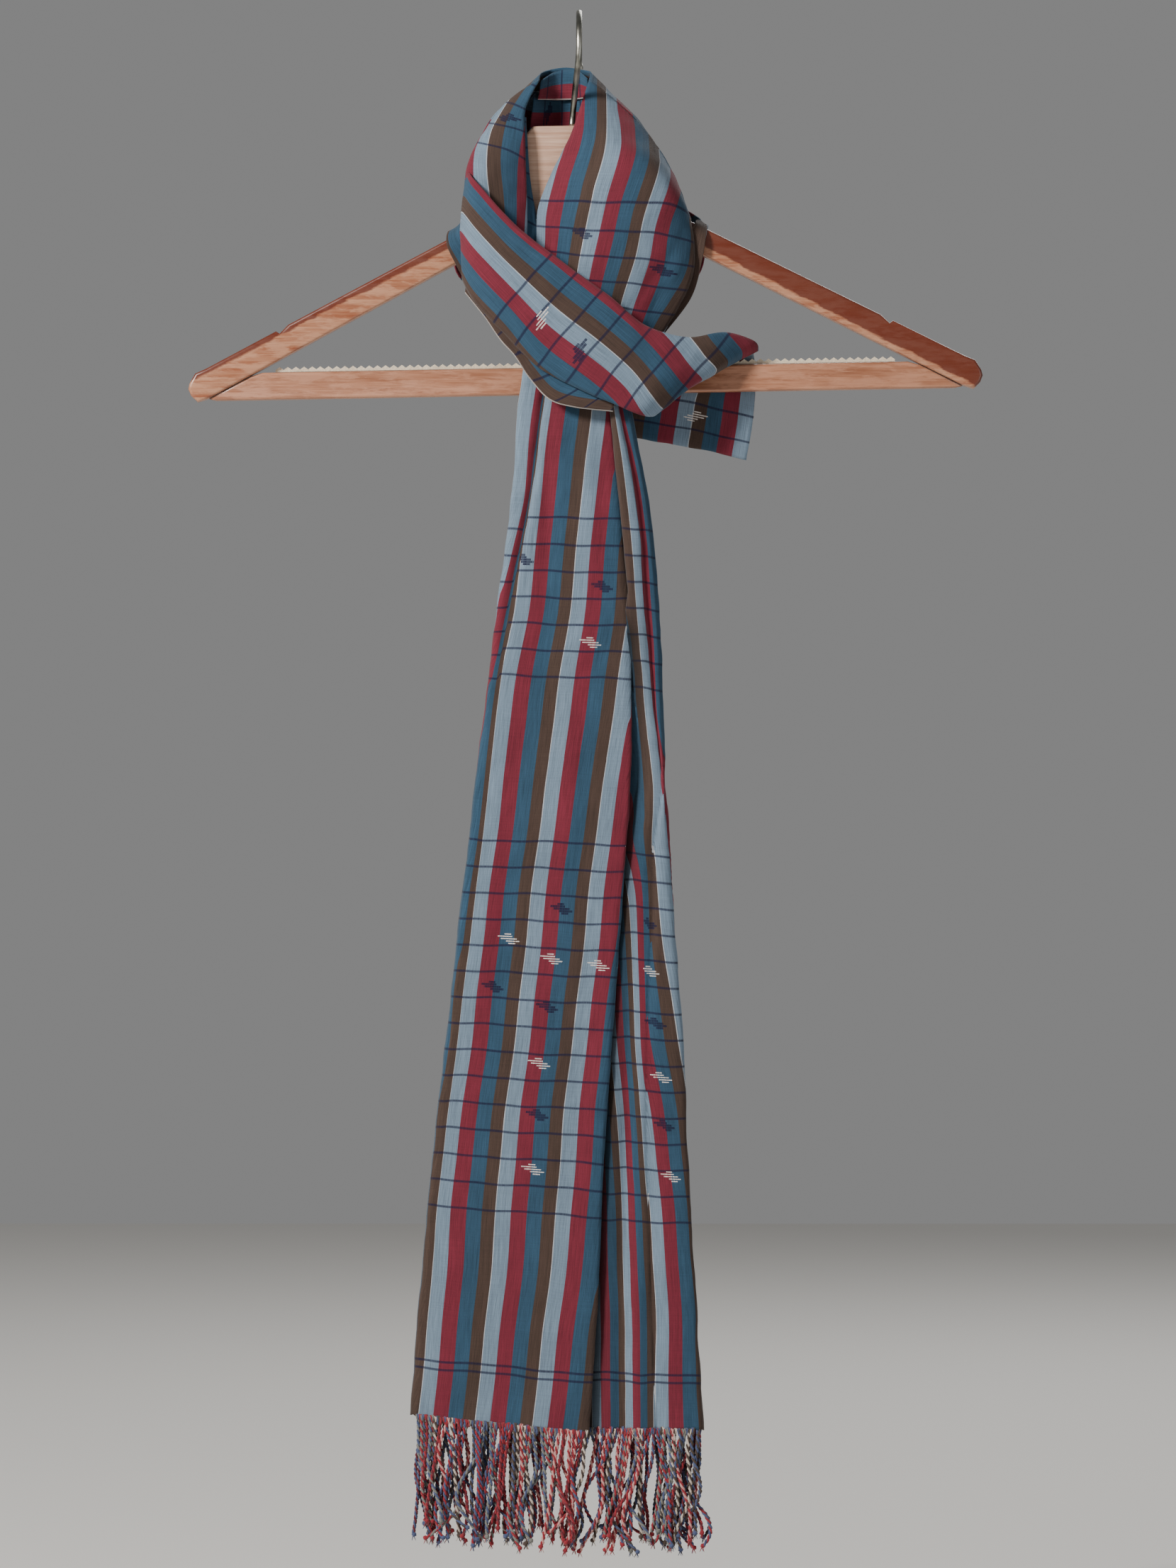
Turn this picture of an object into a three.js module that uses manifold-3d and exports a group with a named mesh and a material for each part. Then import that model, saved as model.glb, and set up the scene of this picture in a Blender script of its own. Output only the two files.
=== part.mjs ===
// A long striped cotton scarf wound twice round the neck of a wooden clothes hanger, one fringed end hanging in front.
// Millimetres. X runs to the right, Y away from the front and Z up. The origin is where the hook bears on its rod.
import * as THREE from "three";
import { mergeVertices } from "three/addons/utils/BufferGeometryUtils.js";
import Module from "manifold-3d";

const wasm = await Module();
wasm.setup();

const CLOTH_WALL = 1.2;
const SEAM_GAP = 0.4;

// Hanger: sizes before the whole frame hangs a little askew.
const HANGER_TILT = THREE.MathUtils.degToRad(1);
const ARM_DEPTH = 12;
const ARM_EDGE_ROUND = 4.5;
const SHOULDER_X = 65;
const SHOULDER_TOP_Z = -119.5;
const SHOULDER_BOTTOM_Z = -135.5;
const ARM_TOP_SLOPE = 0.512;
const ARM_BOTTOM_SLOPE = 0.522;
const TIP_X = 224;
const NECK_TOP_Z = -62.3;
const NECK_HALF_WIDTH = 27;
const BAR_TOP_Z = -198.5;
const BAR_BOTTOM_Z = -213.8;
const BAR_DEPTH = 9;
const BAR_EDGE_ROUND = 2;
const STRAP_NOTCH_X = 172;
const STRAP_NOTCH_DEPTH = 2.4;
const EDGE_SEGMENTS = 3;

// Grip strip let into the top of the bar.
const GRIP_DEPTH = 2;
const GRIP_BASE = 1.2;
const TOOTH_PITCH = 4.6;
const TOOTH_HEIGHT = 1.6;

// Hook wire.
const WIRE_RADIUS = 1.7;
const ROD_RADIUS = 20.5;

// Fringe.
const STRIP_HEIGHT = 2.4;
const STRIP_DEPTH = 1.6;
const STRAND_RADIUS = 0.95;
const STRAND_LENGTH = 68;
const STRAND_STEPS = 4;

// A table with named columns.
const table = (names, rows) =>
  rows.map((row) => Object.fromEntries(names.split(" ").map((name, i) => [name, row[i]])));

const RIBBON_COLUMNS = "innerX innerY innerZ outerX outerY outerZ crownX crownY crownZ";

// First turn round the neck: up the right of the front, over the right arm, behind the hook and down on the left.
const FIRST_TURN = {
  frontRight: table(RIBBON_COLUMNS, [
    [-30, -17.2, -195.6, 29, -20.5, -195.6, 0, -1, 0],
    [-29, -15.5, -178, 34, -16.5, -190, 0, -4, 0],
    [-27, -12.5, -155, 44, -14, -184, 0, -8, 0],
    [-24, -13, -128, 49, -14, -177, 0, -11, 0],
    [-23, -12, -110, 62, -13, -153, 0, -13, 0],
    [-16, -12, -91, 65, -12, -134, 2, -15, 2],
    [-4, -9, -66, 63, -9.5, -117.5, 8, -14, 6],
    [5.5, 2, -36, 62, 0, -113.5, 8, 0, 4],
  ]),
  neckBack: table(RIBBON_COLUMNS, [
    [5.5, 2, -36, 62, 0, -113.5, 8, 0, 4],
    [6.5, 9, -31.5, 61, 10, -119, 7, 12, 4],
    [3, 15, -29.5, 45, 20, -148, 8, 10, 3],
    [-7, 17, -27.5, 0, 22, -160, 0, 8, 0],
    [-17, 15, -29, -45, 20, -148, -8, 10, 3],
    [-22, 8, -32, -61, 10, -121, -9, 12, 6],
    [-22.5, 0, -36, -61, 0, -114.5, -14, 0, 6],
  ]),
  frontLeft: table(RIBBON_COLUMNS, [
    [-22.5, 0, -36, -61, 0, -114.5, -14, 0, 6],
    [-30, -8, -53, -63, -9.5, -116, -13, -7, 5],
    [-30.5, -13, -70, -62.5, -13, -128, -8, -9, 4],
    [-30, -14, -94, -60, -13.5, -150, -3, -7, 1],
    [-29.5, -14, -122, -50, -14, -170, 0, -4, 0],
    [-33, -15, -138, -46, -15, -180, 0, -2, 0],
  ]),
};

// Second turn: a narrow lobe on each arm and a wide pass behind the first turn.
const SECOND_TURN = table(RIBBON_COLUMNS, [
  [32, -9, -166, 48, -10, -180, 0, 0, 0],
  [45, -9, -146, 63, -10, -160, 0, 0, 0],
  [55, -9, -128, 69, -10, -140, 0, 0, 0],
  [64.5, -9, -119, 71.5, -9, -125, 0, 0, 0],
  [66, 0, -115.5, 72.5, 0, -118.8, 0, 0, 0],
  [68, 11, -113, 72, 12, -122, 0, 0, 0],
  [50, 31, -103, 62, 25, -150, 2, 3, 0],
  [0, 37, -84, 0, 34, -158, 0, 5, 0],
  [-50, 31, -103, -63, 25, -150, -2, 3, 0],
  [-66, 11, -115, -71, 12, -126, 0, 0, 0],
  [-67, 0, -118, -74, 0, -121.5, 0, 0, 0],
  [-66, -9, -124, -74.5, -9, -130, 0, 0, 0],
  [-59, -10, -134, -69.5, -10, -141, 0, 0, 0],
  [-50, -10, -148, -61, -10, -156, 0, 0, 0],
  [-41, -10, -160, -52, -10, -168, 0, 0, 0],
]);

// The band that crosses the front from the left shoulder to the bar; inner is its upper edge.
const BAND = table(RIBBON_COLUMNS, [
  [-67.5, -12.5, -86, -67, -15.5, -146, -1.5, 0, 0],
  [-66.8, -18, -83, -68, -20.5, -151, -2, -1, 0],
  [-58, -26, -97, -58, -27, -164, 0, -3, 0],
  [-36, -30.5, -120, -42, -31, -181, 0, -4, 0],
  [-11, -32.5, -140, -23, -32, -200, 0, -4, 0],
  [15, -33, -159, 1, -32.5, -213, 0, -4, 0],
  [36, -31, -176, 20, -32, -221, 0, -4, 0],
  [60, -26, -183, 32, -30, -226, 0, -5, 0],
  [82, -18, -180, 39, -26, -227.5, 0, -6, 0],
  [98, -10, -184, 43, -22, -226.5, 0, -5, 0],
  [101, -5, -189, 41, -17, -222.5, 0, -2, 0],
]);

// The layer that shows below the band; its outer edge is the selvedge.
const UNDER_BAND = table(RIBBON_COLUMNS, [
  [-60, -21.6, -122, -64, -22.1, -158, 0, 0, 0],
  [-48, -23.6, -134, -52, -24.6, -173, 0, -1, 0],
  [-36, -26.6, -152, -44, -27.1, -185, 0, -1, 0],
  [-25, -28.1, -166, -36, -28.1, -194, 0, -1, 0],
  [-14, -28.6, -180, -28, -28.6, -206, 0, -1, 0],
  [-3, -28.9, -192, -17, -29.1, -218, 0, -1, 0],
  [9, -29.1, -200, -3, -29.4, -222.5, 0, -1, 0],
  [22, -29.1, -206, 19, -29.1, -225, 0, -0.5, 0],
]);

// The other end of the scarf: over the bar, down behind it, and folded up again; inner is its left edge.
const END_FLAP = table(RIBBON_COLUMNS, [
  [42, -15.6, -221, 100.4, -4.2, -189.6, 0, -1.6, 0],
  [44, -10, -208, 98.4, -1.4, -190.6, 0, -2.4, 2.5],
  [46, -6.6, -198, 98.5, 2, -191, 0, -1, 2],
  [47, -2, -192.6, 99, 5.8, -193.4, 0, 0, 0.6],
  [46, 5.8, -194.4, 99.4, 6.4, -200, 0, 0, 0],
  [40, 6.4, -202, 99.6, 6.4, -208, 0, 0, 0],
  [32, 6.4, -214, 99.6, 6.4, -216, 0, 0.6, 0],
  [29, 6.6, -226, 98, 6.8, -231, 0, 1.2, 0],
  [28, 7, -234, 95, 7.2, -247, 0, 1.4, 0.6],
  [28, 9.4, -237, 94.6, 9.6, -250, 0, 1.2, 0.6],
  [28, 12, -233, 94.8, 12, -245, 0, 1.2, 0.6],
  [31, 12, -212, 97, 12, -218, 0, 0.5, 0],
]);

// Two turned-in layers that show behind the hook; inner is the upper edge.
const NECK_FACING = {
  facing_upper: table(RIBBON_COLUMNS, [
    [-21.5, 5.5, -36, -23.5, 3.5, -47, 0, 0, 0],
    [-13, 14.5, -30, -14, 11, -46.5, 0, 1, 0],
    [-2, 15, -29, -2, 11, -46, 0, 1, 0],
    [5, 9, -34.5, 5, 7, -45.5, 0, 0, 0],
  ]),
  facing_lower: table(RIBBON_COLUMNS, [
    [-26, 6, -45.5, -29, 8.5, -72, 0, 0, 0],
    [-16, 13.5, -45, -17, 12, -72, 0, 1, 0],
    [-4, 14, -44.5, -4, 12, -72, 0, 1, 0],
    [5, 9.5, -46, 9, 9, -72, 0, 0, 0],
  ]),
};

// Hanging end, left part: folds by height. hem is how much lower the right side of a row lies.
const TAIL_LEFT = table("z left pleat right front hem", [
  [-196, -30, -17, 15, -17.5, 0],
  [-226, -34.4, -21.5, 18, -19, 0],
  [-274, -37.6, -28, 22.5, -19, 0],
  [-336, -45.8, -39.6, 28, -18.5, 2],
  [-386, -51.6, -47, 29, -18.5, 3],
  [-434, -57.6, -52.3, 28, -19, 3],
  [-507, -66, -60.8, 22.7, -20, 4],
  [-574, -73.2, -69, 17.6, -20.5, 5],
  [-640, -81, -77.3, 13.2, -21, 6],
  [-715, -88, -84.8, 10, -21, 8],
  [-788.5, -94, -91, 5.2, -21, 10],
]);
const PLEAT_DEPTH = 2.2;
const PLEAT_WIDTH = 3;
const PLEAT_END_Z = -400;
const TAIL_LEFT_BACK = 0.86;

// Hanging end, right part: a ridge laid over the left part at the top, sunk behind its edge lower down.
// middle is the ridge's right side, and step is how far back the cloth lies from there on.
const TAIL_RIGHT = table("z left middle right start front step", [
  [-196, 12, 21.5, 29, -22, -23, 3.6],
  [-226, 16.5, 24.5, 32.5, -23.5, -23.5, 4],
  [-274, 21.6, 33, 41, -23.5, -23.5, 4.4],
  [-336, 27.6, 38, 46, -22.5, -22, 3.6],
  [-386, 31.6, 42, 47, -19, -20, 2.2],
  [-434, 31.4, 41, 48.5, -14.6, -19, 0.6],
  [-470, 24, 42, 51, -12.6, -19, 0],
  [-507, 14, 41, 53, -12, -19, 0],
  [-574, 9, 38, 58, -12, -19, 0],
  [-640, 4, 38, 61, -11.6, -18.5, 0],
  [-715, -1, 40, 65.5, -11.6, -18.5, 0],
  [-797, -5, 43, 70.5, -11.6, -18.5, 0],
]);
const TAIL_RIGHT_BACK = 0.72;

const lerp = (a, b, t) => a + (b - a) * t;

// A smooth run through four neighbouring values.
function smooth(a, b, c, d, t) {
  const t2 = t * t;
  const t3 = t2 * t;
  return 0.5 * (2 * b + (c - a) * t + (2 * a - 5 * b + 4 * c - d) * t2 + (3 * b - a - 3 * c + d) * t3);
}

// The row at share s (0 to 1) of a table, smoothly between its rows.
function rowAt(rows, s) {
  const place = s * (rows.length - 1);
  const i = Math.min(Math.floor(place), rows.length - 2);
  const near = (k) => rows[Math.min(Math.max(k, 0), rows.length - 1)];
  const made = {};
  for (const key of Object.keys(rows[0])) {
    made[key] = smooth(near(i - 1)[key], near(i)[key], near(i + 1)[key], near(i + 2)[key], place - i);
  }
  return made;
}

// A grid of points over a ribbon table: rows along it, columns from the inner to the outer edge.
function ribbonGrid(rows, along, across) {
  const grid = [];
  for (let i = 0; i <= along; i++) {
    const r = rowAt(rows, i / along);
    const inner = new THREE.Vector3(r.innerX, r.innerY, r.innerZ);
    const outer = new THREE.Vector3(r.outerX, r.outerY, r.outerZ);
    const crown = new THREE.Vector3(r.crownX, r.crownY, r.crownZ);
    grid.push(
      Array.from({ length: across + 1 }, (_, j) => {
        const t = j / across;
        return inner.clone().lerp(outer, t).addScaledVector(crown, 4 * t * (1 - t));
      }),
    );
  }
  return grid;
}

// Points at even spacing along a smooth line through a few [x, y] points.
function sectionPoints(corners, count) {
  const line = new THREE.CatmullRomCurve3(
    corners.map(([x, y]) => new THREE.Vector3(x, y, 0)),
    false,
    "centripetal",
  );
  return line.getSpacedPoints(count);
}

// Left part of the hanging end: right edge tucked in, front, left fold, and the layer behind.
function tailLeftGrid(along, across) {
  const grid = [];
  for (let i = 0; i <= along; i++) {
    const r = rowAt(TAIL_LEFT, i / along);
    const width = r.right - r.left;
    const corners = [
      [r.right - 5, r.front + 4.6],
      [r.right - 1, r.front + 3.4],
      [r.right, r.front + 1.8],
      [r.right - 2, r.front],
      [lerp(r.left, r.right, 0.66), r.front - 1],
      [lerp(r.left, r.right, 0.33), r.front - 0.6],
      [r.left + 2.5, r.front + 0.3],
      [r.left, r.front + 2.4],
      [r.left + 2, r.front + 4.6],
      [r.left + width * 0.4, r.front + 6],
      [r.left + width * TAIL_LEFT_BACK - 3, r.front + 6.6],
    ];
    const open = THREE.MathUtils.clamp((r.z - PLEAT_END_Z) / 100, 0, 1);
    grid.push(
      sectionPoints(corners, across).map((p) => {
        const onFront = p.y < r.front + 1.5;
        const trough = onFront ? open * PLEAT_DEPTH * Math.exp(-(((p.x - r.pleat) / PLEAT_WIDTH) ** 2)) : 0;
        return new THREE.Vector3(p.x, p.y + trough, r.z - (r.hem * (p.x - r.left)) / width);
      }),
    );
  }
  return grid;
}

// Right part of the hanging end: from its hidden left start over its ridge to the right fold and back.
function tailRightGrid(along, across) {
  const grid = [];
  for (let i = 0; i <= along; i++) {
    const r = rowAt(TAIL_RIGHT, i / along);
    const width = r.right - r.left;
    const side = r.front + r.step;
    const corners = [
      [r.left + 1, r.start + 1],
      [r.left + 2.5, r.start - 0.4],
      [lerp(r.left, r.middle, 0.6), lerp(r.start, r.front, 0.75) - 0.6],
      [r.middle - 1.2, r.front + 0.4],
      [r.middle, r.front + 1 + r.step * 0.5],
      [lerp(r.middle, r.right, 0.3), side - 0.8],
      [lerp(r.middle, r.right, 0.7), side - 0.4],
      [r.right - 1.5, side + 0.6],
      [r.right, side + 2.4],
      [r.right - 2, side + 4.4],
      [r.right - width * 0.3, Math.max(side, r.start) + 5.4],
      [r.right - width * TAIL_RIGHT_BACK + 2, Math.max(side, r.start) + 6.4],
    ];
    grid.push(sectionPoints(corners, across).map((p) => new THREE.Vector3(p.x, p.y, r.z)));
  }
  return grid;
}

// A closed wall of the given thickness, half on each side of a grid of points.
function wallGeometry(grid, thickness) {
  const rows = grid.length;
  const columns = grid[0].length;
  const positions = [];
  for (const side of [0.5, -0.5]) {
    for (let i = 0; i < rows; i++) {
      for (let j = 0; j < columns; j++) {
        const along = grid[Math.min(i + 1, rows - 1)][j].clone().sub(grid[Math.max(i - 1, 0)][j]);
        const across = grid[i][Math.min(j + 1, columns - 1)].clone().sub(grid[i][Math.max(j - 1, 0)]);
        const normal = along.cross(across).normalize();
        positions.push(...grid[i][j].clone().addScaledVector(normal, side * thickness).toArray());
      }
    }
  }
  const at = (layer, i, j) => layer * rows * columns + i * columns + j;
  const index = [];
  const quad = (a, b, c, d) => index.push(a, b, c, a, c, d);
  for (let i = 0; i < rows - 1; i++) {
    for (let j = 0; j < columns - 1; j++) {
      quad(at(0, i, j), at(0, i + 1, j), at(0, i + 1, j + 1), at(0, i, j + 1));
      quad(at(1, i, j), at(1, i, j + 1), at(1, i + 1, j + 1), at(1, i + 1, j));
    }
  }
  for (let i = 0; i < rows - 1; i++) {
    quad(at(0, i, 0), at(1, i, 0), at(1, i + 1, 0), at(0, i + 1, 0));
    quad(at(0, i, columns - 1), at(0, i + 1, columns - 1), at(1, i + 1, columns - 1), at(1, i, columns - 1));
  }
  for (let j = 0; j < columns - 1; j++) {
    quad(at(0, 0, j), at(0, 0, j + 1), at(1, 0, j + 1), at(1, 0, j));
    quad(at(0, rows - 1, j), at(1, rows - 1, j), at(1, rows - 1, j + 1), at(0, rows - 1, j + 1));
  }
  const geometry = new THREE.BufferGeometry();
  geometry.setAttribute("position", new THREE.Float32BufferAttribute(positions, 3));
  geometry.setIndex(index);
  return geometry;
}

function toSolid(geometry) {
  const bare = geometry.clone();
  bare.deleteAttribute("normal");
  bare.deleteAttribute("uv");
  const merged = mergeVertices(bare, 1e-3);
  return new wasm.Manifold(
    new wasm.Mesh({
      numProp: 3,
      vertProperties: merged.attributes.position.array,
      triVerts: new Uint32Array(merged.index.array),
    }),
  );
}

function toGeometry(solid) {
  const mesh = solid.getMesh();
  const geometry = new THREE.BufferGeometry();
  geometry.setAttribute("position", new THREE.BufferAttribute(mesh.vertProperties, 3));
  geometry.setIndex(new THREE.BufferAttribute(mesh.triVerts, 1));
  return geometry;
}

const cloth = new THREE.MeshStandardMaterial({ color: 0x3f6e88, roughness: 0.9, metalness: 0 });
const wood = new THREE.MeshStandardMaterial({ color: 0x9a5a35, roughness: 0.45, metalness: 0 });
const steel = new THREE.MeshStandardMaterial({ color: 0x9a9a90, roughness: 0.3, metalness: 1 });
const gripFelt = new THREE.MeshStandardMaterial({ color: 0xd9cdb4, roughness: 0.8, metalness: 0 });
const yarn = new THREE.MeshStandardMaterial({ color: 0x9b3a48, roughness: 0.95, metalness: 0 });

function named(name, geometry, material) {
  const mesh = new THREE.Mesh(geometry, material);
  mesh.name = name;
  return mesh;
}

const armTop = (x) => SHOULDER_TOP_Z - ARM_TOP_SLOPE * (x - SHOULDER_X);
const armBottom = (x) => SHOULDER_BOTTOM_Z - ARM_BOTTOM_SLOPE * (x - SHOULDER_X);

// Half outline of the arms from the neck's top round the tip to the middle of the underside.
function armOutline() {
  const tip = new THREE.Vector2(TIP_X, (armTop(TIP_X - 6) + armBottom(TIP_X - 8)) / 2 - 1);
  const half = [
    [NECK_HALF_WIDTH, NECK_TOP_Z],
    [NECK_HALF_WIDTH + 5, NECK_TOP_Z - 5],
    [NECK_HALF_WIDTH + 9, NECK_TOP_Z - 18],
    [NECK_HALF_WIDTH + 15, NECK_TOP_Z - 34],
    [SHOULDER_X - 14, armTop(SHOULDER_X - 14) + 1.5],
    [SHOULDER_X - 5, armTop(SHOULDER_X - 5)],
    [STRAP_NOTCH_X - 5, armTop(STRAP_NOTCH_X - 5)],
    [STRAP_NOTCH_X, armTop(STRAP_NOTCH_X) - STRAP_NOTCH_DEPTH],
    [STRAP_NOTCH_X + 2, armTop(STRAP_NOTCH_X + 2)],
    [TIP_X - 10, armTop(TIP_X - 10)],
    [TIP_X - 4, armTop(TIP_X - 5)],
    [TIP_X - 0.8, armTop(TIP_X - 4) - 5],
    [tip.x, tip.y],
    [TIP_X - 1.5, armBottom(TIP_X - 4) + 5.5],
    [TIP_X - 5, armBottom(TIP_X - 6) + 1],
    [TIP_X - 12, armBottom(TIP_X - 12)],
    [SHOULDER_X - 15, armBottom(SHOULDER_X - 15)],
    [22, -113],
  ];
  return [...half, ...half.map(([x, z]) => [-x, z]).reverse()];
}

// Extrudes an XZ outline along Y, centred on y, with its long edges rounded.
function slab(points, depth, round, y = 0) {
  const shape = new THREE.Shape(points.map(([x, z]) => new THREE.Vector2(x, z)));
  const geometry = new THREE.ExtrudeGeometry(shape, {
    depth: depth - 2 * round,
    bevelEnabled: round > 0,
    bevelThickness: round,
    bevelSize: round,
    bevelOffset: -round,
    bevelSegments: EDGE_SEGMENTS,
  });
  geometry.translate(0, 0, -(depth - 2 * round) / 2);
  geometry.rotateX(Math.PI / 2);
  geometry.translate(0, y, 0);
  return geometry;
}

function buildHanger() {
  const frame = new THREE.Group();
  frame.rotation.y = -HANGER_TILT;
  frame.add(named("hanger_arms", slab(armOutline(), ARM_DEPTH, ARM_EDGE_ROUND), wood));

  const endAt = (z) => SHOULDER_X + (SHOULDER_BOTTOM_Z - z) / ARM_BOTTOM_SLOPE - SEAM_GAP * 2;
  const bar = [
    [endAt(BAR_TOP_Z) - 3, BAR_TOP_Z],
    [endAt(BAR_TOP_Z - 2), BAR_TOP_Z - 2],
    [endAt(BAR_BOTTOM_Z + 1), BAR_BOTTOM_Z + 1],
    [endAt(BAR_BOTTOM_Z + 1) - 4, BAR_BOTTOM_Z],
  ];
  const barOutline = [...bar, ...bar.map(([x, z]) => [-x, z]).reverse()];
  frame.add(named("trouser_bar", slab(barOutline, BAR_DEPTH, BAR_EDGE_ROUND), wood));

  const teeth = Math.floor((endAt(BAR_TOP_Z) - 6) / TOOTH_PITCH);
  const base = BAR_TOP_Z + SEAM_GAP;
  const profile = [[teeth * TOOTH_PITCH, base]];
  for (let k = teeth; k > -teeth; k--) {
    profile.push([k * TOOTH_PITCH, base + GRIP_BASE]);
    profile.push([(k - 0.5) * TOOTH_PITCH, base + GRIP_BASE + TOOTH_HEIGHT]);
  }
  profile.push([-teeth * TOOTH_PITCH, base + GRIP_BASE], [-teeth * TOOTH_PITCH, base]);
  frame.add(named("grip_strip", slab(profile, GRIP_DEPTH, 0, GRIP_DEPTH / 2), gripFelt));
  return frame;
}

// The hook: up from the neck, out to the front, over the rod and down behind it.
function buildHook() {
  const points = [
    [-4, 0, NECK_TOP_Z + SEAM_GAP],
    [-3.6, 0, NECK_TOP_Z + 6],
    [-2.8, -4, -48],
    [-1.6, -13, -37],
    [-0.6, -20.5, -29],
  ].map((p) => new THREE.Vector3(...p));
  const reach = ROD_RADIUS + WIRE_RADIUS;
  for (let k = 0; k <= 10; k++) {
    const turn = Math.PI - (k / 10) * Math.PI;
    points.push(new THREE.Vector3(0, reach * Math.cos(turn), -ROD_RADIUS + reach * Math.sin(turn)));
  }
  points.push(new THREE.Vector3(0, reach - 1.5, -ROD_RADIUS - 9));
  const section = new THREE.Shape();
  section.absarc(0, 0, WIRE_RADIUS, 0, 2 * Math.PI);
  const geometry = new THREE.ExtrudeGeometry(section, {
    steps: 30,
    curveSegments: 4,
    extrudePath: new THREE.CatmullRomCurve3(points, false, "centripetal"),
  });
  return named("hook", geometry, steel);
}

// One fringe strand: a three-sided cord along a softly waving line.
function strandSolid(root, lean, wave, depthLean, length) {
  const points = Array.from({ length: STRAND_STEPS + 1 }, (_, k) => {
    const t = k / STRAND_STEPS;
    return new THREE.Vector3(
      root.x + lean * t + wave * Math.sin(t * Math.PI * 2.2) * t,
      root.y + depthLean * t,
      root.z - 0.8 - length * t,
    );
  });
  const section = new THREE.Shape();
  for (let k = 0; k < 3; k++) {
    const turn = (k / 3) * 2 * Math.PI;
    const corner = [STRAND_RADIUS * Math.cos(turn), STRAND_RADIUS * Math.sin(turn)];
    if (k === 0) section.moveTo(...corner);
    else section.lineTo(...corner);
  }
  section.closePath();
  return toSolid(
    new THREE.ExtrudeGeometry(section, {
      steps: STRAND_STEPS,
      extrudePath: new THREE.CatmullRomCurve3(points, false, "centripetal"),
    }),
  );
}

// A strip just under a hem line, with its strands fused to it.
function fringe(name, hemLine, pitch, seed) {
  const lowered = (drop) => hemLine.map((p) => new THREE.Vector3(p.x, p.y, p.z - drop));
  let solid = toSolid(wallGeometry([lowered(SEAM_GAP), lowered(SEAM_GAP + STRIP_HEIGHT)], STRIP_DEPTH));
  const line = new THREE.CatmullRomCurve3(lowered(SEAM_GAP), false, "centripetal");
  const length = line.getLength();
  const count = Math.floor((length - pitch) / pitch);
  for (let k = 0; k <= count; k++) {
    const root = line.getPointAt((pitch / 2 + k * pitch) / length);
    const drift = Math.sin(k * 0.55 + seed);
    const strand = strandSolid(
      root,
      2.2 * drift,
      0.7 * Math.sin(k * 0.5 + seed * 2),
      1.2 * Math.cos(k * 0.7 + seed),
      STRAND_LENGTH + 5 * Math.sin(k * 1.9 + seed),
    );
    solid = solid.add(strand);
  }
  return named(name, toGeometry(solid), yarn);
}

const scarf = new THREE.Group();
const addWall = (name, grid) => scarf.add(named(name, wallGeometry(grid, CLOTH_WALL), cloth));

// Neighbouring stretches of the first turn stop short of their shared row by a seam.
function trimmed(grid, fromStart, fromEnd) {
  const made = grid.map((row) => row.map((p) => p.clone()));
  const shift = (target, other) =>
    target.forEach((p, j) => p.addScaledVector(other[j].clone().sub(p).normalize(), SEAM_GAP / 2));
  if (fromStart) shift(made[0], grid[1]);
  if (fromEnd) shift(made[made.length - 1], grid[grid.length - 2]);
  return made;
}

addWall("front_right", trimmed(ribbonGrid(FIRST_TURN.frontRight, 14, 10), false, true));
addWall("neck_back", trimmed(ribbonGrid(FIRST_TURN.neckBack, 16, 10), true, true));
addWall("front_left", trimmed(ribbonGrid(FIRST_TURN.frontLeft, 12, 8), true, false));
addWall("back_wrap", ribbonGrid(SECOND_TURN, 32, 5));
addWall("band", ribbonGrid(BAND, 20, 9));
addWall("under_band", ribbonGrid(UNDER_BAND, 12, 4));
addWall("end_flap", ribbonGrid(END_FLAP, 18, 6));
for (const [name, rows] of Object.entries(NECK_FACING)) addWall(name, ribbonGrid(rows, 8, 4));

const tailLeft = tailLeftGrid(14, 34);
const tailRight = tailRightGrid(14, 28);
addWall("tail_left", tailLeft);
addWall("tail_right", tailRight);

// Hem lines: the front and the back layer of each part carry their own fringe.
const hemOf = (grid, from, to) => grid[grid.length - 1].slice(from, to);
scarf.add(fringe("fringe_left_front", hemOf(tailLeft, 4, 18), 3.5, 0.4));
scarf.add(fringe("fringe_left_back", hemOf(tailLeft, 20, 34), 5.5, 1.7));
scarf.add(fringe("fringe_right_front", hemOf(tailRight, 1, 15), 3.5, 2.9));
scarf.add(fringe("fringe_right_back", hemOf(tailRight, 18, 28), 5.5, 4.2));

const object = new THREE.Group();
object.add(buildHanger(), buildHook(), scarf);

export default object;
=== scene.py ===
"""A long striped cotton scarf wound on a wooden hanger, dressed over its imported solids.

Tables are in millimetres in the part's own frame and are scaled to metres as each mesh is made.
Every cloth point carries its place in the woven cloth: s across the width and t along the length.
"""
import math

import bmesh
import bpy
import numpy as np
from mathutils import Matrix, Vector, noise


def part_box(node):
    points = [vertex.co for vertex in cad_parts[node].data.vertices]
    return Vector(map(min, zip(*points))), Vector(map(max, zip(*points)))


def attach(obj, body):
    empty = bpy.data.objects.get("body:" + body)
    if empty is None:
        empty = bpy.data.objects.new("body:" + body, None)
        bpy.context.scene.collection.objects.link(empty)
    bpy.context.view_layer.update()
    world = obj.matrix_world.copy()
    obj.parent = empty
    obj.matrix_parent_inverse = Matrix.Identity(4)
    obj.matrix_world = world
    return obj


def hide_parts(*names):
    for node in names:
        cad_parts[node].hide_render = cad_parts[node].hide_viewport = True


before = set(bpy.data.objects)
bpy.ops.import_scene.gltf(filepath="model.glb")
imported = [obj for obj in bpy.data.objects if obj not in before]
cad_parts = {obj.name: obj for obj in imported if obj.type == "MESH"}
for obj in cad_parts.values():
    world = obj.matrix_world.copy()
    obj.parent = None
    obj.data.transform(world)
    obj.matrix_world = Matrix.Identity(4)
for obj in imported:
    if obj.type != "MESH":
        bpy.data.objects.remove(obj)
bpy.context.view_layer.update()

MM = 0.001
BODY = "root"
CLOTH_THICKNESS = 0.8 * MM
CLOTH_STEP = 2.2
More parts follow.
